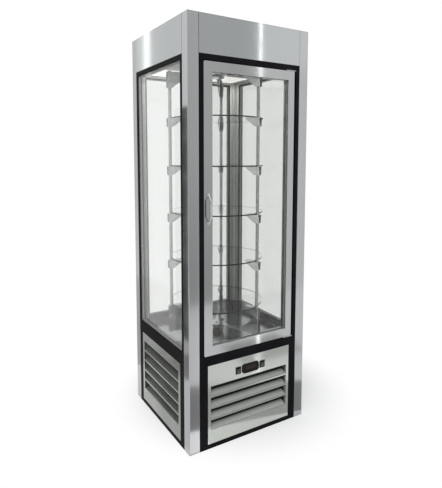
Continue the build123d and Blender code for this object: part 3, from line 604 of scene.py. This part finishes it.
@dataclass(frozen=True)
class GroundEdge(Finish):
    """The ground rim of plate glass, where its green body colour shows dark."""

    shine: float = 0.12
    line_stretch: Point = (1.0, 1.0, 60.0)
    line_scale: float = 30.0
    line_tone: float = 2.2
    line_share: float = 0.6
    line_dulling: float = 0.12

    def shade(self, sheet: Sheet) -> Node:
        """Dark green with fine grinding lines round the rim.

        Args:
            sheet: The material's node tree.

        Returns:
            The shader.
        """
        lines = sheet.effect("grain", Stretch=self.line_stretch, Scale=self.line_scale)
        colour = self.toned(sheet, sheet.spread(lines, 0.0, self.line_share), self.line_tone)
        rough = self.dulled(sheet, lines, self.line_dulling)
        return sheet.gloss(colour, rough, Specular_IOR_Level=self.shine)


@dataclass(frozen=True)
class OpalLamp(Finish):
    """Lit opal diffuser, brighter along its middle."""

    glow: float = 1.0
    light: float = 8.0
    tone_stretch: Point = (0.4, 3.0, 1.0)
    tone_scale: float = 2.0
    tone_share: float = 0.94

    def shade(self, sheet: Sheet) -> Node:
        """A pale sheet that gives light of its own.

        Args:
            sheet: The material's node tree.

        Returns:
            The shader.
        """
        tone = sheet.effect("tone", Stretch=self.tone_stretch, Scale=self.tone_scale)
        glow = sheet.mix(tone, rgba(self.colour, self.tone_share), rgba(self.colour))
        lamp = sheet.gloss(rgba(self.colour), self.roughness, Emission_Color=glow, Emission_Strength=self.glow)
        light = sheet.add("Emission", Color=rgba(self.colour), Strength=self.light)
        return sheet.blend(sheet.rays("Diffuse"), lamp, light)


class Finishes:
    """Every finish of the case as a material, by name."""

    LIST: tuple[Finish, ...] = (
        # Posts: inner faces painted paler towards the ceiling lamp as painted light.
        DrawnSteel("post_steel", (0.48, 0.49, 0.495), 0.12, inner=(0.46, 0.48, 0.455), inner_high=(0.6, 0.62, 0.595),
                   band_scale=5.0),
        DrawnSteel("header_steel", (0.48, 0.5, 0.5), 0.09, band_scale=2.2, band_depth=0.08),
        DrawnSteel("door_steel", (0.48, 0.485, 0.49), 0.1, band_scale=2.6),
        # Front louvre panel, with painted shade deep between its blades.
        DrawnSteel("panel_steel", (0.54, 0.56, 0.53), 0.13, metal=0.8, recess_shade=0.95, grain_axis=Axis.X,
                   band_scale=2.0),
        # Side and back louvre panels: the front panel's steel, painted darker as painted shade, with painted shade
        # deep between the blades too.
        DrawnSteel("side_panel_steel", (0.36, 0.37, 0.35), 0.16, metal=0.85, recess_shade=0.85, blade_metal=0.6,
                   band_depth=0.2),
        DrawnSteel("deck_steel", (0.33, 0.34, 0.34), 0.16, dark_above=0.403, grain_axis=Axis.Y, band_scale=2.5,
                   band_depth=0.15),
        PolishedSteel("bright_steel", (0.6, 0.61, 0.62), 0.08),
        # Upright rods: polished steel like bright_steel, painted darker as a painted reflection of the dim room
        # around them.
        PolishedSteel("rod_steel", (0.42, 0.43, 0.43), 0.1),
        PolishedSteel("bracket_steel", (0.57, 0.58, 0.58), 0.16),
        PolishedSteel("machined_steel", (0.5, 0.5, 0.51), 0.24),
        PolishedSteel("bearing_metal", (0.3, 0.27, 0.22), 0.3),
        Moulded("spacer_bar", (0.33, 0.335, 0.33), 0.5, metal=0.3, shine=0.1, wear=0.1),
        # Black frames: inner faces in grey, painted paler towards the ceiling lamp as painted light.
        Moulded("black_profile", (0.005, 0.005, 0.006), 0.5, inner=(0.42, 0.44, 0.42), inner_high=(0.74, 0.76, 0.73),
                shine=0.04, wear=0.08),
        Moulded("glazing_bead_black", (0.012, 0.012, 0.013), 0.4, shine=0.12, wear=0.2),
        Moulded("seal_rubber", (0.014, 0.014, 0.015), 0.7, texture_scale=1400.0),
        Moulded("ceiling_skin", (0.66, 0.66, 0.655), 0.4, wear=0.1),
        Moulded("controller_black", (0.004, 0.004, 0.005), 0.35, shine=0.1),
        Moulded("display_smoke", (0.02, 0.012, 0.009), 0.2, shine=0.12),
        Moulded("switch_black", (0.006, 0.006, 0.007), 0.4, shine=0.15),
        Moulded("rocker_black", (0.03, 0.032, 0.03), 0.2, coat=0.5),
        Moulded("machine_enamel", (0.012, 0.012, 0.013), 0.25, coat=0.4, dust=0.5),
        Moulded("fan_plastic", (0.03, 0.03, 0.032), 0.45, dust=0.4),
        Moulded("filter_felt", (0.014, 0.014, 0.015), 0.8, shine=0.05, texture_scale=500.0, dust=0.12),
        Moulded("fin_aluminium", (0.12, 0.12, 0.12), 0.4, metal=0.8, dust=0.25),
        Moulded("copper_tube", (0.46, 0.22, 0.12), 0.3, metal=1.0, dust=0.15),
        Galvanised("galvanised_sheet", (0.16, 0.165, 0.17), 0.4),
        ClearGlass("pane_glass", (0.966, 0.97, 0.966), 0.0, bending=1.25),
        ClearGlass("door_glass", (0.865, 0.87, 0.863), 0.0, bending=1.25),
        ClearGlass("shelf_glass", (0.965, 0.985, 0.975), 0.0, bending=1.12),
        GroundEdge("shelf_rim", (0.004, 0.012, 0.01), 0.3),
        OpalLamp("opal_lamp", (1.0, 0.99, 0.96), 0.3, glow=0.76),
    )

    def __init__(self, effects: Effects) -> None:
        """Builds the materials with the shared shader groups."""
        self.materials = {finish.name: finish.build(effects) for finish in self.LIST}

    def __getitem__(self, name: str) -> Material:
        """The material of that name."""
        return self.materials[name]


# Modelling tools


def pick_only(piece: Optional[Piece]) -> None:
    """Leaves only one object selected and active.

    Args:
        piece: The object, or None to select nothing.
    """
    bpy.ops.object.select_all(action="DESELECT")
    if piece is not None:
        piece.select_set(True)
        bpy.context.view_layer.objects.active = piece


def settled() -> Piece:
    """The active object, once its place, turn and size are moved into its mesh."""
    bpy.ops.object.transform_apply(location=True, rotation=True, scale=True)
    return bpy.context.view_layer.objects.active


def added(operator: Callable[..., object], spans: Optional[Point] = None, **settings: object) -> Piece:
    """Adds a primitive and settles it.

    Args:
        operator: The operator that adds it.
        spans: How large it becomes along its own axes, where it is added with a size of 1.
        settings: The operator's settings.

    Returns:
        The new object.
    """
    pick_only(None)
    operator(**settings)
    if spans:
        bpy.context.view_layer.objects.active.scale = spans
    return settled()


def linked(name: str, data: bpy.types.ID) -> Piece:
    """A new object with the data given, linked into the scene.

    Args:
        name: Its name.
        data: Its curve, mesh, lamp or camera.

    Returns:
        The new object.
    """
    piece = bpy.data.objects.new(name, data)
    bpy.context.scene.collection.objects.link(piece)
    return piece


@contextmanager
def edit_mode() -> Iterator[None]:
    """Edit mode for the lines under it."""
    bpy.ops.object.mode_set(mode="EDIT")
    yield
    bpy.ops.object.mode_set(mode="OBJECT")


def modified(piece: Piece, kind: str, **settings: object) -> None:
    """Gives the active object a modifier and applies it.

    Args:
        piece: The active object.
        kind: The modifier's kind.
        settings: Values for the modifier, by name.
    """
    modifier = piece.modifiers.new(kind.lower(), kind)
    for key, value in settings.items():
        setattr(modifier, key, value)
    bpy.ops.object.modifier_apply(modifier=modifier.name)


def round_edges(piece: Piece, width: float, segments: int = 2) -> None:
    """Rounds the sharp edges of a piece and smooths its shading.

    Args:
        piece: The object.
        width: The rounding's width in metres.
        segments: How many faces go round an edge.
    """
    pick_only(piece)
    modified(piece, "BEVEL", width=width, segments=segments, limit_method="ANGLE", angle_limit=SHARP_ANGLE)
    bpy.ops.object.shade_smooth_by_angle(angle=SHARP_ANGLE)
    modified(piece, "WEIGHTED_NORMAL", keep_sharp=True)


def named(piece: Piece, name: str) -> Piece:
    """Settles a new piece, and names it and its mesh.

    Args:
        piece: The new object.
        name: Its name.

    Returns:
        The same object.
    """
    pick_only(piece)
    settled().name = name
    piece.data.name = name
    return piece


def joined(pieces: list[Piece], name: str) -> Piece:
    """Joins several objects into one.

    Args:
        pieces: The objects.
        name: The new name.

    Returns:
        The joined object.
    """
    pick_only(pieces[0])
    for piece in pieces:
        piece.select_set(True)
    bpy.ops.object.join()
    return named(bpy.context.view_layer.objects.active, name)


def add_block(low: Point, high: Point) -> Piece:
    """A block between its lowest and its highest corner."""
    middle = tuple((a + b) / 2 for a, b in zip(low, high))
    return added(bpy.ops.mesh.primitive_cube_add, tuple(b - a for a, b in zip(low, high)), size=1.0, location=middle)


def add_disc(radius: float, middle: Point, length: float, turn: Point = (0.0, 0.0, 0.0), sides: int = 48) -> Piece:
    """A cylinder about its middle, which is upright unless it is turned."""
    return added(bpy.ops.mesh.primitive_cylinder_add, vertices=sides, radius=radius, depth=length, location=middle,
                 rotation=turn)


def add_folds(rows: tuple[int, int], size: Pair, middle: Point, turn: Point, shift: Point,
              row_of: Callable[[Vector], float]) -> Piece:
    """A flat sheet cut into rows, with every second row of points moved out of its plane.

    Args:
        rows: How many rows it has along its own X and Y.
        size: Its size along them.
        middle: Its middle.
        turn: How it is turned.
        shift: How far the rows move.
        row_of: Gives the number of the row that a point is in.

    Returns:
        The new object.
    """
    sheet = added(bpy.ops.mesh.primitive_grid_add, (*size, 1.0), x_subdivisions=rows[0], y_subdivisions=rows[1],
                  size=1.0, location=middle, rotation=turn)
    with edit_mode():
        bpy.ops.mesh.select_mode(type="VERT")
        bpy.ops.mesh.select_all(action="DESELECT")
    for corner in sheet.data.vertices:
        corner.select = round(row_of(corner.co)) % 2 == 1
    with edit_mode():
        bpy.ops.transform.translate(value=shift)
    return sheet


@dataclass
class Assembly:
    """A sub-assembly of the case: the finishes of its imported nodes, and the fine pieces that it adds.

    Attributes:
        DRESS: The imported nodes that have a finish, by the finish's name.
        finishes: The case's materials.
        pieces: How many pieces it has added.
    """

    DRESS: ClassVar[dict[str, str]] = {}

    frame: dict
    finishes: Finishes
    pieces: int = field(default=0, init=False)

    def build(self) -> None:
        """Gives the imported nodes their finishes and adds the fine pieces."""
        for finish, nodes in self.DRESS.items():
            for node in nodes.split():
                for place in self.frame["nodes"][node].material_slots:
                    place.material = self.finishes[finish]
        self.add_pieces()

    def add_pieces(self) -> None:
        """Models the fine pieces, where a sub-assembly has some."""

    def paint(self, piece: Piece, *finishes: str) -> Piece:
        """Gives a new piece its finishes.

        Args:
            piece: The new object.
            finishes: The names of its finishes.

        Returns:
            The same object.
        """
        for finish in finishes:
            piece.data.materials.append(self.finishes[finish])
        return piece

    def place(self, piece: Piece, body: Body, slot: str, *stands_for: str) -> None:
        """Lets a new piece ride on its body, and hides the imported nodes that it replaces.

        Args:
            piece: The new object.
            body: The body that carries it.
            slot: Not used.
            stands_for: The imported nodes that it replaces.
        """
        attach(piece, body.value)
        if stands_for:
            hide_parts(*stands_for)
        self.pieces += 1
        log.info("piece %s on %s", piece.name, body.value)


@dataclass
class Cabinet(Assembly):
    """Posts, headers, lid, frames, glazing, floor and ceiling."""

    DRESS = {
        "post_steel": "post_front_left post_front_right post_back_left post_back_right",
        "header_steel": "header_front header_left header_right header_back roof_lid",
        "black_profile": "frame_front frame_left frame_right frame_back",
        "pane_glass": "glazing_left glazing_right glazing_back",
        "spacer_bar": "glazing_spacers",
        "glazing_bead_black": "glazing_beads",
        "ceiling_skin": "insulated_floor insulated_ceiling",
        "deck_steel": "deck_liner",
        "opal_lamp": "ceiling_lamp",
    }


@dataclass
class Door(Assembly):
    """The hinged door with its glass, seal and handle."""

    DRESS = {
        "door_steel": "door_frame",
        "door_glass": "door_glazing",
        "spacer_bar": "door_spacer",
        "seal_rubber": "door_gasket",
        "machined_steel": "hinge_plates",
    }

    rod_radius: float = 0.0045
    rod_sides: int = 6
    foot_radius: float = 0.008
    foot_thickness: float = 0.004
    foot_rounding: float = 0.001
    foot_segments: int = 3
    slope_height: float = 0.03
    slope_pull: float = 0.45
    bend: float = 0.02
    line_steps: int = 16

    def add_pieces(self) -> None:
        """Adds the handle."""
        self.place(self.paint(self.handle(), "bright_steel"), Body.DOOR, "polished_steel", "door_handle")

    def handle(self) -> Piece:
        """The bow handle: a round rod along a smooth line, on two turned feet.

        Returns:
            The handle's object.
        """
        low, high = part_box("door_handle")
        x = (low.x + high.x) / 2
        root = high.y - self.foot_thickness / 2
        out = low.y + self.rod_radius
        ends = (low.z + self.foot_radius, high.z - self.foot_radius)
        lean = Vector((0.0, out - root, self.slope_height)) * self.slope_pull
        along = Vector((0.0, 0.0, self.bend / 2))
        stops = [(ends[0], root, lean), (ends[0] + self.slope_height, out, along),
                 (ends[1] - self.slope_height, out, along), (ends[1], root, Vector((0.0, -lean.y, lean.z)))]
        curve = bpy.data.curves.new("bow_line", "CURVE")
        curve.dimensions = "3D"
        curve.bevel_depth = self.rod_radius
        curve.bevel_resolution = self.rod_sides
        curve.resolution_u = self.line_steps
        curve.use_fill_caps = True
        line = curve.splines.new("BEZIER")
        line.bezier_points.add(len(stops) - 1)
        for point, (z, y, pull) in zip(line.bezier_points, stops):
            point.co = (x, y, z)
            point.handle_left = point.co - pull
            point.handle_right = point.co + pull
        pick_only(linked("bow", curve))
        bpy.ops.object.convert(target="MESH")
        bow = bpy.context.view_layer.objects.active
        bpy.ops.object.shade_smooth()
        feet = [add_disc(self.foot_radius, (x, root, z), self.foot_thickness, TURN_TO_FRONT) for z in ends]
        for foot in feet:
            round_edges(foot, self.foot_rounding, self.foot_segments)
        return joined([bow] + feet, "bow_handle")


@dataclass
class Carousel(Assembly):
    """The turning stack: spiders, rods, brackets and glass shelves."""

    DRESS = {
        "bracket_steel": "lower_spider upper_spider shelf_brackets",
        "machined_steel": "drive_shaft upper_pivot",
        "bearing_metal": "lower_bearing",
    }

    rod_circle: float = 0.235
    rod_radius: float = 0.008
    rod_sides: int = 40
    first_angle: float = -66.7
    rods: int = 3
    shelves: int = 5
    shelf_sides: int = 160
    rounding: float = 0.001
    flat_share: float = 0.9

    def add_pieces(self) -> None:
        """Adds the rods and the glass shelves."""
        self.place(self.paint(self.upright_rods(), "rod_steel"), Body.CAROUSEL, "polished_steel", "carousel_rods")
        for number in range(1, self.shelves + 1):
            self.place(self.shelf(number), Body.CAROUSEL, "shelf_glass", "shelf_" + str(number))

    def upright_rods(self) -> Piece:
        """The upright rods with eased ends.

        Returns:
            One object with all the rods.
        """
        low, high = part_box("carousel_rods")
        rods = []
        for k in range(self.rods):
            angle = math.radians(self.first_angle + 360.0 / self.rods * k)
            middle = (self.rod_circle * math.cos(angle), self.rod_circle * math.sin(angle), (low.z + high.z) / 2)
            rods.append(add_disc(self.rod_radius, middle, high.z - low.z, sides=self.rod_sides))
            round_edges(rods[-1], self.rounding)
        return joined(rods, "upright_rods")

    def shelf(self, number: int) -> Piece:
        """One round glass shelf with eased edges and a darker ground rim.

        Args:
            number: The shelf's number from below.

        Returns:
            The shelf's object.
        """
        low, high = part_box("shelf_" + str(number))
        middle = tuple((low + high) / 2)
        plate = add_disc((high.x - low.x) / 2, middle, high.z - low.z, sides=self.shelf_sides)
        round_edges(plate, self.rounding)
        self.paint(plate, "shelf_glass", "shelf_rim")
        for face in plate.data.polygons:
            face.material_index = 1 if abs(face.normal.z) < self.flat_share else 0
        return named(plate, "glass_shelf_" + str(number))


@dataclass
class Controls(Assembly):
    """The digital controller and the two switches. Heights are from the controller's middle."""

    DRESS = {
        "controller_black": "controller",
        "switch_black": "switch_bezels",
        "rocker_black": "switch_rocker_left switch_rocker_right",
    }

    sunk: float = 0.0012
    rounding: float = 0.0002
    half_width: float = 0.028
    window_bottom: float = -0.006
    window_top: float = 0.012
    window_rise: float = 0.0005
    key_count: int = 4
    key_width: float = 0.008
    key_height: float = 0.0028
    key_bottom: float = -0.011
    key_rise: float = 0.0004

    def add_pieces(self) -> None:
        """Adds the display window with its keys."""
        self.place(self.paint(self.window(), "display_smoke"), Body.CABINET, "controller_black")

    def window(self) -> Piece:
        """The smoked window with a row of flat keys under it.

        Returns:
            The window's object.
        """
        low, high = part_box("controller")
        x = (low.x + high.x) / 2
        z = (low.z + high.z) / 2
        back = low.y + self.sunk
        parts = [add_block((x - self.half_width, back - self.window_rise, z + self.window_bottom),
                           (x + self.half_width, back, z + self.window_top))]
        pitch = 2 * self.half_width / self.key_count
        for k in range(self.key_count):
            middle = x - self.half_width + pitch * (k + 0.5)
            start = z + self.key_bottom
            parts.append(add_block((middle - self.key_width / 2, back - self.key_rise, start),
                                   (middle + self.key_width / 2, back, start + self.key_height)))
        for part in parts:
            round_edges(part, self.rounding)
        return joined(parts, "controller_window")


@dataclass
class Base(Assembly):
    """The louvred panels with their dust filter, and the machinery in base and header with its finned coils."""

    DRESS = {
        "panel_steel": "grille_front",
        "side_panel_steel": "grille_left grille_right grille_back",
        "galvanised_sheet": "base_tray condenser_fan_shroud drip_tray",
        "machine_enamel": "compressor gearmotor condenser_fan_motor evaporator_fan_motor",
        "seal_rubber": "compressor_mounts",
        "fin_aluminium": "condenser evaporator",
        "fan_plastic": "condenser_fan evaporator_fan",
    }

    condenser_bends: int = 5
    evaporator_bends: int = 3
    fin_pitch: float = 0.0032
    fin_thickness: float = 0.0003
    fin_strips: int = 4
    fin_wave: float = 0.0006
    end_plate: float = 0.002
    end_margin: float = 0.005
    end_rounding: float = 0.0004
    tube_radius: float = 0.004
    tube_sides: int = 20
    bend_share: float = 0.25
    bend_steps: int = 36
    bend_overlap: float = 0.0005
    filter_gap: float = 0.0003
    filter_depth: float = 0.006
    filter_half_width: float = 0.2
    filter_bottom: float = 0.068
    filter_top: float = 0.297
    filter_rim: float = 0.006
    filter_pleats: int = 64
    filter_felt: float = 0.001

    def add_pieces(self) -> None:
        """Adds the two coils and the dust filter."""
        for node, bends in (("condenser", self.condenser_bends), ("evaporator", self.evaporator_bends)):
            self.place(self.coil(node, bends), Body.CABINET, "coil_metal", node)
        self.place(self.dust_filter(), Body.CABINET, "machine_black")

    def dust_filter(self) -> Piece:
        """The pleated dust filter that hangs on the straps behind the front louvres.

        Returns:
            The filter's object.
        """
        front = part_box("grille_front")[1].y + self.filter_gap
        back = front + self.filter_depth
        half, rim = self.filter_half_width, self.filter_rim
        bottom, top = self.filter_bottom, self.filter_top
        edges = ((-half, bottom, rim - half, top), (half - rim, bottom, half, top),
                 (rim - half, bottom, half - rim, bottom + rim), (rim - half, top - rim, half - rim, top))
        bars = [add_block((left, front, low), (right, back, high)) for left, low, right, high in edges]
        for bar in bars:
            round_edges(bar, self.filter_gap)
            self.paint(bar, "fan_plastic")
        width = 2 * (half - rim)
        felt = add_folds((self.filter_pleats, 1), (width, top - bottom - 2 * rim),
                         (0.0, front + self.filter_felt, (bottom + top) / 2), TURN_TO_FRONT,
                         (0.0, self.filter_depth - 2 * self.filter_felt, 0.0),
                         lambda corner: (corner.x + width / 2) / width * self.filter_pleats)
        modified(felt, "SOLIDIFY", thickness=self.filter_felt, offset=0.0)
        self.paint(felt, "filter_felt")
        return joined([felt] + bars, "dust_filter")

    def coil(self, node: str, bends: int) -> Piece:
        """A coil: a pack of fins between end plates, on tubes that turn back in hairpin bends at its left end.

        Args:
            node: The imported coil.
            bends: How many hairpin bends it has.

        Returns:
            The coil's object.
        """
        low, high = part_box(node)
        pitch = (high.z - low.z) / bends
        bend_radius = pitch * self.bend_share
        left = low.x + bend_radius + self.tube_radius
        middle = (low.y + high.y) / 2
        parts = [self.fins((left + self.end_plate, low.y, low.z + self.end_margin),
                           (high.x - self.end_plate, high.y, high.z - self.end_margin))]
        for start in (left, high.x - self.end_plate):
            plate = add_block((start, low.y, low.z), (start + self.end_plate, high.y, high.z))
            round_edges(plate, self.end_rounding)
            parts.append(self.paint(plate, "galvanised_sheet"))
        for k in range(bends):
            level = low.z + pitch * (k + 0.5)
            tubes = [add_disc(self.tube_radius, ((left + high.x) / 2, middle, level + side * bend_radius),
                              high.x - left - self.end_plate, TURN_TO_SIDE, self.tube_sides) for side in (-1, 1)]
            for tube in tubes + [self.hairpin((left, middle, level), bend_radius)]:
                pick_only(tube)
                bpy.ops.object.shade_smooth_by_angle(angle=SHARP_ANGLE)
                parts.append(self.paint(tube, "copper_tube"))
        return joined(parts, node + "_coil")

    def fins(self, low: Point, high: Point) -> Piece:
        """A row of thin upright fins with a wavy section, between two corners.

        Args:
            low: The row's lowest corner.
            high: Its highest corner.

        Returns:
            One object with all the fins.
        """
        length = high[0] - low[0]
        depth = high[1] - low[1]
        count = int(length / self.fin_pitch)
        first = low[0] + (length - self.fin_pitch * (count - 1)) / 2
        fin = add_folds((1, self.fin_strips), (high[2] - low[2], depth),
                        (first, low[1] + depth / 2, (low[2] + high[2]) / 2), TURN_TO_SIDE,
                        (self.fin_wave, 0.0, 0.0), lambda corner: (corner.y - low[1]) / depth * self.fin_strips)
        modified(fin, "SOLIDIFY", thickness=self.fin_thickness, offset=0.0)
        modified(fin, "ARRAY", count=count, use_relative_offset=False, use_constant_offset=True,
                 constant_offset_displace=(self.fin_pitch, 0.0, 0.0))
        return self.paint(fin, "fin_aluminium")

    def hairpin(self, middle: Point, radius: float) -> Piece:
        """Half a ring of tube that stands out to the left.

        Args:
            middle: The ring's middle.
            radius: The bend's radius.

        Returns:
            The bend's object.
        """
        ring = added(bpy.ops.mesh.primitive_torus_add, major_radius=radius, minor_radius=self.tube_radius,
                     major_segments=self.bend_steps, minor_segments=self.tube_sides, location=middle,
                     rotation=TURN_TO_FRONT)
        with edit_mode():
            bpy.ops.mesh.select_all(action="SELECT")
            bpy.ops.mesh.bisect(plane_co=(middle[0] + self.bend_overlap, middle[1], middle[2]),
                                plane_no=(1.0, 0.0, 0.0), use_fill=True, clear_outer=True)
        return ring


# Studio


@dataclass(frozen=True)
class Lamp:
    """A rectangular lamp, which gives soft light or, where it is mirrored, only shows as a reflection."""

    name: str
    place: Point
    aim: Point
    size: Pair
    power: float
    mirrored: bool = False

    def hang(self) -> None:
        """Puts the lamp into the scene."""
        data = bpy.data.lights.new(self.name, "AREA")
        data.shape = "RECTANGLE"
        data.size, data.size_y = self.size
        data.energy = self.power
        lamp = linked(self.name, data)
        lamp.location = self.place
        lamp.rotation_euler = (Vector(self.aim) - Vector(self.place)).to_track_quat("-Z", "Y").to_euler()
        lamp.visible_camera = lamp.visible_transmission = False
        lamp.visible_glossy = self.mirrored
        lamp.visible_diffuse = not self.mirrored


@dataclass(frozen=True)
class Mirrored:
    """A glowing sheet that only the steel and the glass mirror, as a dim part of a room.

    Attributes:
        name: The sheet's name.
        tones: How bright it looks near the floor and high up.
        corners: Its four corners.
        fade_height: The height at which it has its upper tone.
    """

    name: str
    tones: Pair
    corners: tuple[Point, ...]
    fade_height: float = 1.6

    def shade(self, sheet: Sheet) -> Node:
        """White light whose strength changes with height."""
        strength = sheet.ramp(sheet.upright(), 0.0, self.fade_height, *self.tones, course="SMOOTHSTEP")
        return sheet.add("Emission", Color=rgba(WHITE), Strength=strength)

    def hang(self) -> None:
        """Puts the sheet into the scene."""
        mesh = bpy.data.meshes.new(self.name)
        mesh.from_pydata(self.corners, [], [(0, 1, 2, 3)])
        mesh.materials.append(new_material(self.name, self.shade))
        card = linked(self.name, mesh)
        card.visible_camera = card.visible_diffuse = False
        card.visible_transmission = card.visible_shadow = False


def card(name: str, start: Pair, end: Pair, reach: Pair, tones: Pair) -> Mirrored:
    """An upright card between two places in plan, with the heights of its foot and head."""
    foot, head = reach
    return Mirrored(name, tones, ((*start, foot), (*end, foot), (*end, head), (*start, head)))


def mat(name: str, tone: float, *outline: Pair) -> Mirrored:
    """A mat on the floor, with its corners in plan."""
    return Mirrored(name, (tone, tone), tuple((*corner, MAT_HEIGHT) for corner in outline))


@dataclass
class Studio:
    """Camera, lamps, floor and background."""

    position: Point = (-1.16755, -1.95287, 1.27825)
    azimuth: float = -31.4345
    elevation: float = 5.4041
    roll: float = 0.0534
    focal_pixels: float = 459.17
    axis_pixel: Pair = (221.0, 200.0)
    picture: tuple[int, int] = (442, 488)
    film_width: float = 36.0
    view_reach: float = 60.0
    sky: Colour = (0.96, 0.98, 1.0)
    sky_strength: float = 0.55
    bounces: int = 24
    floor_size: float = 24.0
    floor_paint: Colour = (0.8, 0.8, 0.8)
    shadow_middle: Point = (0.17, 0.08, 0.0)
    shadow_range: Pair = (0.3, 0.68)
    floor_glow: float = 0.36

    LAMPS: ClassVar[tuple[Lamp, ...]] = (
        Lamp("front_left_light", (-2.4, -2.8, 2.6), (0.0, 0.0, 0.9), (1.8, 1.8), 55.0),
        Lamp("front_right_light", (2.6, -1.8, 2.2), (0.0, 0.0, 0.9), (1.6, 2.0), 20.0),
        Lamp("front_high_light", (-0.5, -3.4, 2.6), (0.0, 0.0, 0.5), (1.4, 1.0), 40.0),
        Lamp("front_strip", (0.343, -0.7125, 1.13), (0.043, -0.302, 1.13), (0.009, 2.24), 0.213, True),
        Lamp("left_strip", (-0.653, 0.93, 1.98), (-0.314, 0.105, 1.98), (0.034, 0.36), 0.068, True),
    )
    CARDS: ClassVar[tuple[Mirrored, ...]] = (
        card("front_card", (0.1, -2.026), (1.28, -2.026), (0.0, 2.8), (0.5, 0.68)),
        card("left_card", (-0.568, 0.17), (-0.568, 0.362), (0.277, 1.538), (0.06, 0.06)),
        card("right_card", (1.285, -2.026), (2.5, -2.026), (0.0, 2.1), (0.86, 0.86)),
        card("camera_card", (-2.94, -1.7), (-0.59, -3.35), (0.0, 3.2), (0.45, 0.45)),
        mat("near_mat", 0.36, (-0.3, -0.47), (0.335, -0.33), (0.56, -0.56), (-0.09, -0.85)),
        mat("corner_mat", 1.4, (-0.36, -0.31), (-0.2, -0.31), (-0.18, -0.44), (-0.34, -0.47)),
        card("left_end_card", (-0.738, 1.34), (-0.738, 1.44), (0.0, 2.2), (0.76, 0.76)),
        mat("far_mat", 0.5, (0.38, -1.2), (0.85, -1.2), (0.85, -0.88), (0.38, -0.88)),
        mat("left_mat", 0.3, (-0.9, 0.3), (-0.6, 0.3), (-0.6, 0.62), (-0.9, 0.62)),
        mat("left_near_mat", 0.85, (-0.6, -0.3), (-0.33, -0.3), (-0.33, 0.3), (-0.6, 0.3)),
        mat("left_far_mat", 0.6, (-1.3, 0.63), (-0.42, 0.63), (-0.42, 2.6), (-1.3, 2.6)),
    )

    def build(self) -> None:
        """Sets up the whole studio."""
        self.camera()
        self.world()
        self.floor()
        for thing in self.LAMPS + self.CARDS:
            thing.hang()
        bpy.context.scene.view_settings.view_transform = "Standard"

    def camera(self) -> None:
        """The camera, at the photograph's place and angle."""
        azimuth, elevation, roll = (math.radians(angle) for angle in (self.azimuth, self.elevation, self.roll))
        back = Vector((math.sin(azimuth) * math.cos(elevation), -math.cos(azimuth) * math.cos(elevation),
                       math.sin(elevation)))
        right = (-back).cross(Vector((0.0, 0.0, 1.0))).normalized()
        up = right.cross(-back)
        right, up = (math.cos(roll) * right + math.sin(roll) * up, -math.sin(roll) * right + math.cos(roll) * up)
        data = bpy.data.cameras.new("photo_camera")
        longest = max(self.picture)
        data.sensor_width = self.film_width
        data.lens = self.film_width * self.focal_pixels / longest
        data.shift_x = (self.picture[0] / 2 - self.axis_pixel[0]) / longest
        data.shift_y = (self.axis_pixel[1] - self.picture[1] / 2) / longest
        data.clip_end = self.view_reach
        camera = linked("photo_camera", data)
        camera.matrix_world = Matrix.Translation(self.position) @ Matrix((right, up, back)).transposed().to_4x4()
        bpy.context.scene.camera = camera

    def world(self) -> None:
        """Soft even light, with a white background for what is seen, mirrored or seen through glass."""
        world = bpy.data.worlds.new("studio")
        world.use_nodes = True
        bpy.context.scene.world = world
        sheet = Sheet(world.node_tree)
        soft = sheet.add("Background", Color=rgba(self.sky), Strength=self.sky_strength)
        white = sheet.add("Background", Color=rgba(WHITE), Strength=1.0)
        sheet.surface(sheet.blend(sheet.rays(*SEEN_RAYS), soft, white), "OutputWorld")
        paths = bpy.context.scene.cycles
        paths.max_bounces = paths.transmission_bounces = paths.transparent_max_bounces = self.bounces

    def floor(self) -> None:
        """A pale floor that keeps the case's shadow and fades to white away from it."""
        floor = added(bpy.ops.mesh.primitive_plane_add, size=self.floor_size)
        floor.name = "floor"
        floor.data.materials.append(new_material("pale_floor", self.floor_shade))

    def floor_shade(self, sheet: Sheet) -> Node:
        """Paint near the case, and white away from it for what is seen, mirrored or seen through glass.

        Args:
            sheet: The floor's node tree.

        Returns:
            The shader.
        """
        distance = sheet.vector("DISTANCE", sheet.spot(), self.shadow_middle, "Value")
        fade = sheet.ramp(distance, *self.shadow_range, self.floor_glow, course="SMOOTHSTEP")
        share = sheet.math("MULTIPLY", fade, sheet.rays(*SEEN_RAYS))
        paint = sheet.add("BsdfDiffuse", Color=rgba(self.floor_paint))
        return sheet.blend(share, paint, sheet.add("Emission", Color=rgba(WHITE), Strength=1.0))


def main() -> None:
    """Builds and dresses the whole case."""
    logging.basicConfig(level=logging.INFO, format="%(name)s %(message)s")
    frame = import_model()
    finishes = Finishes(Effects())
    for kind in (Cabinet, Door, Carousel, Controls, Base):
        assembly = kind(frame, finishes)
        assembly.build()
        log.info("%s: %d new pieces", kind.__name__, assembly.pieces)
    Studio().build()


if __name__ == "__main__":
    main()
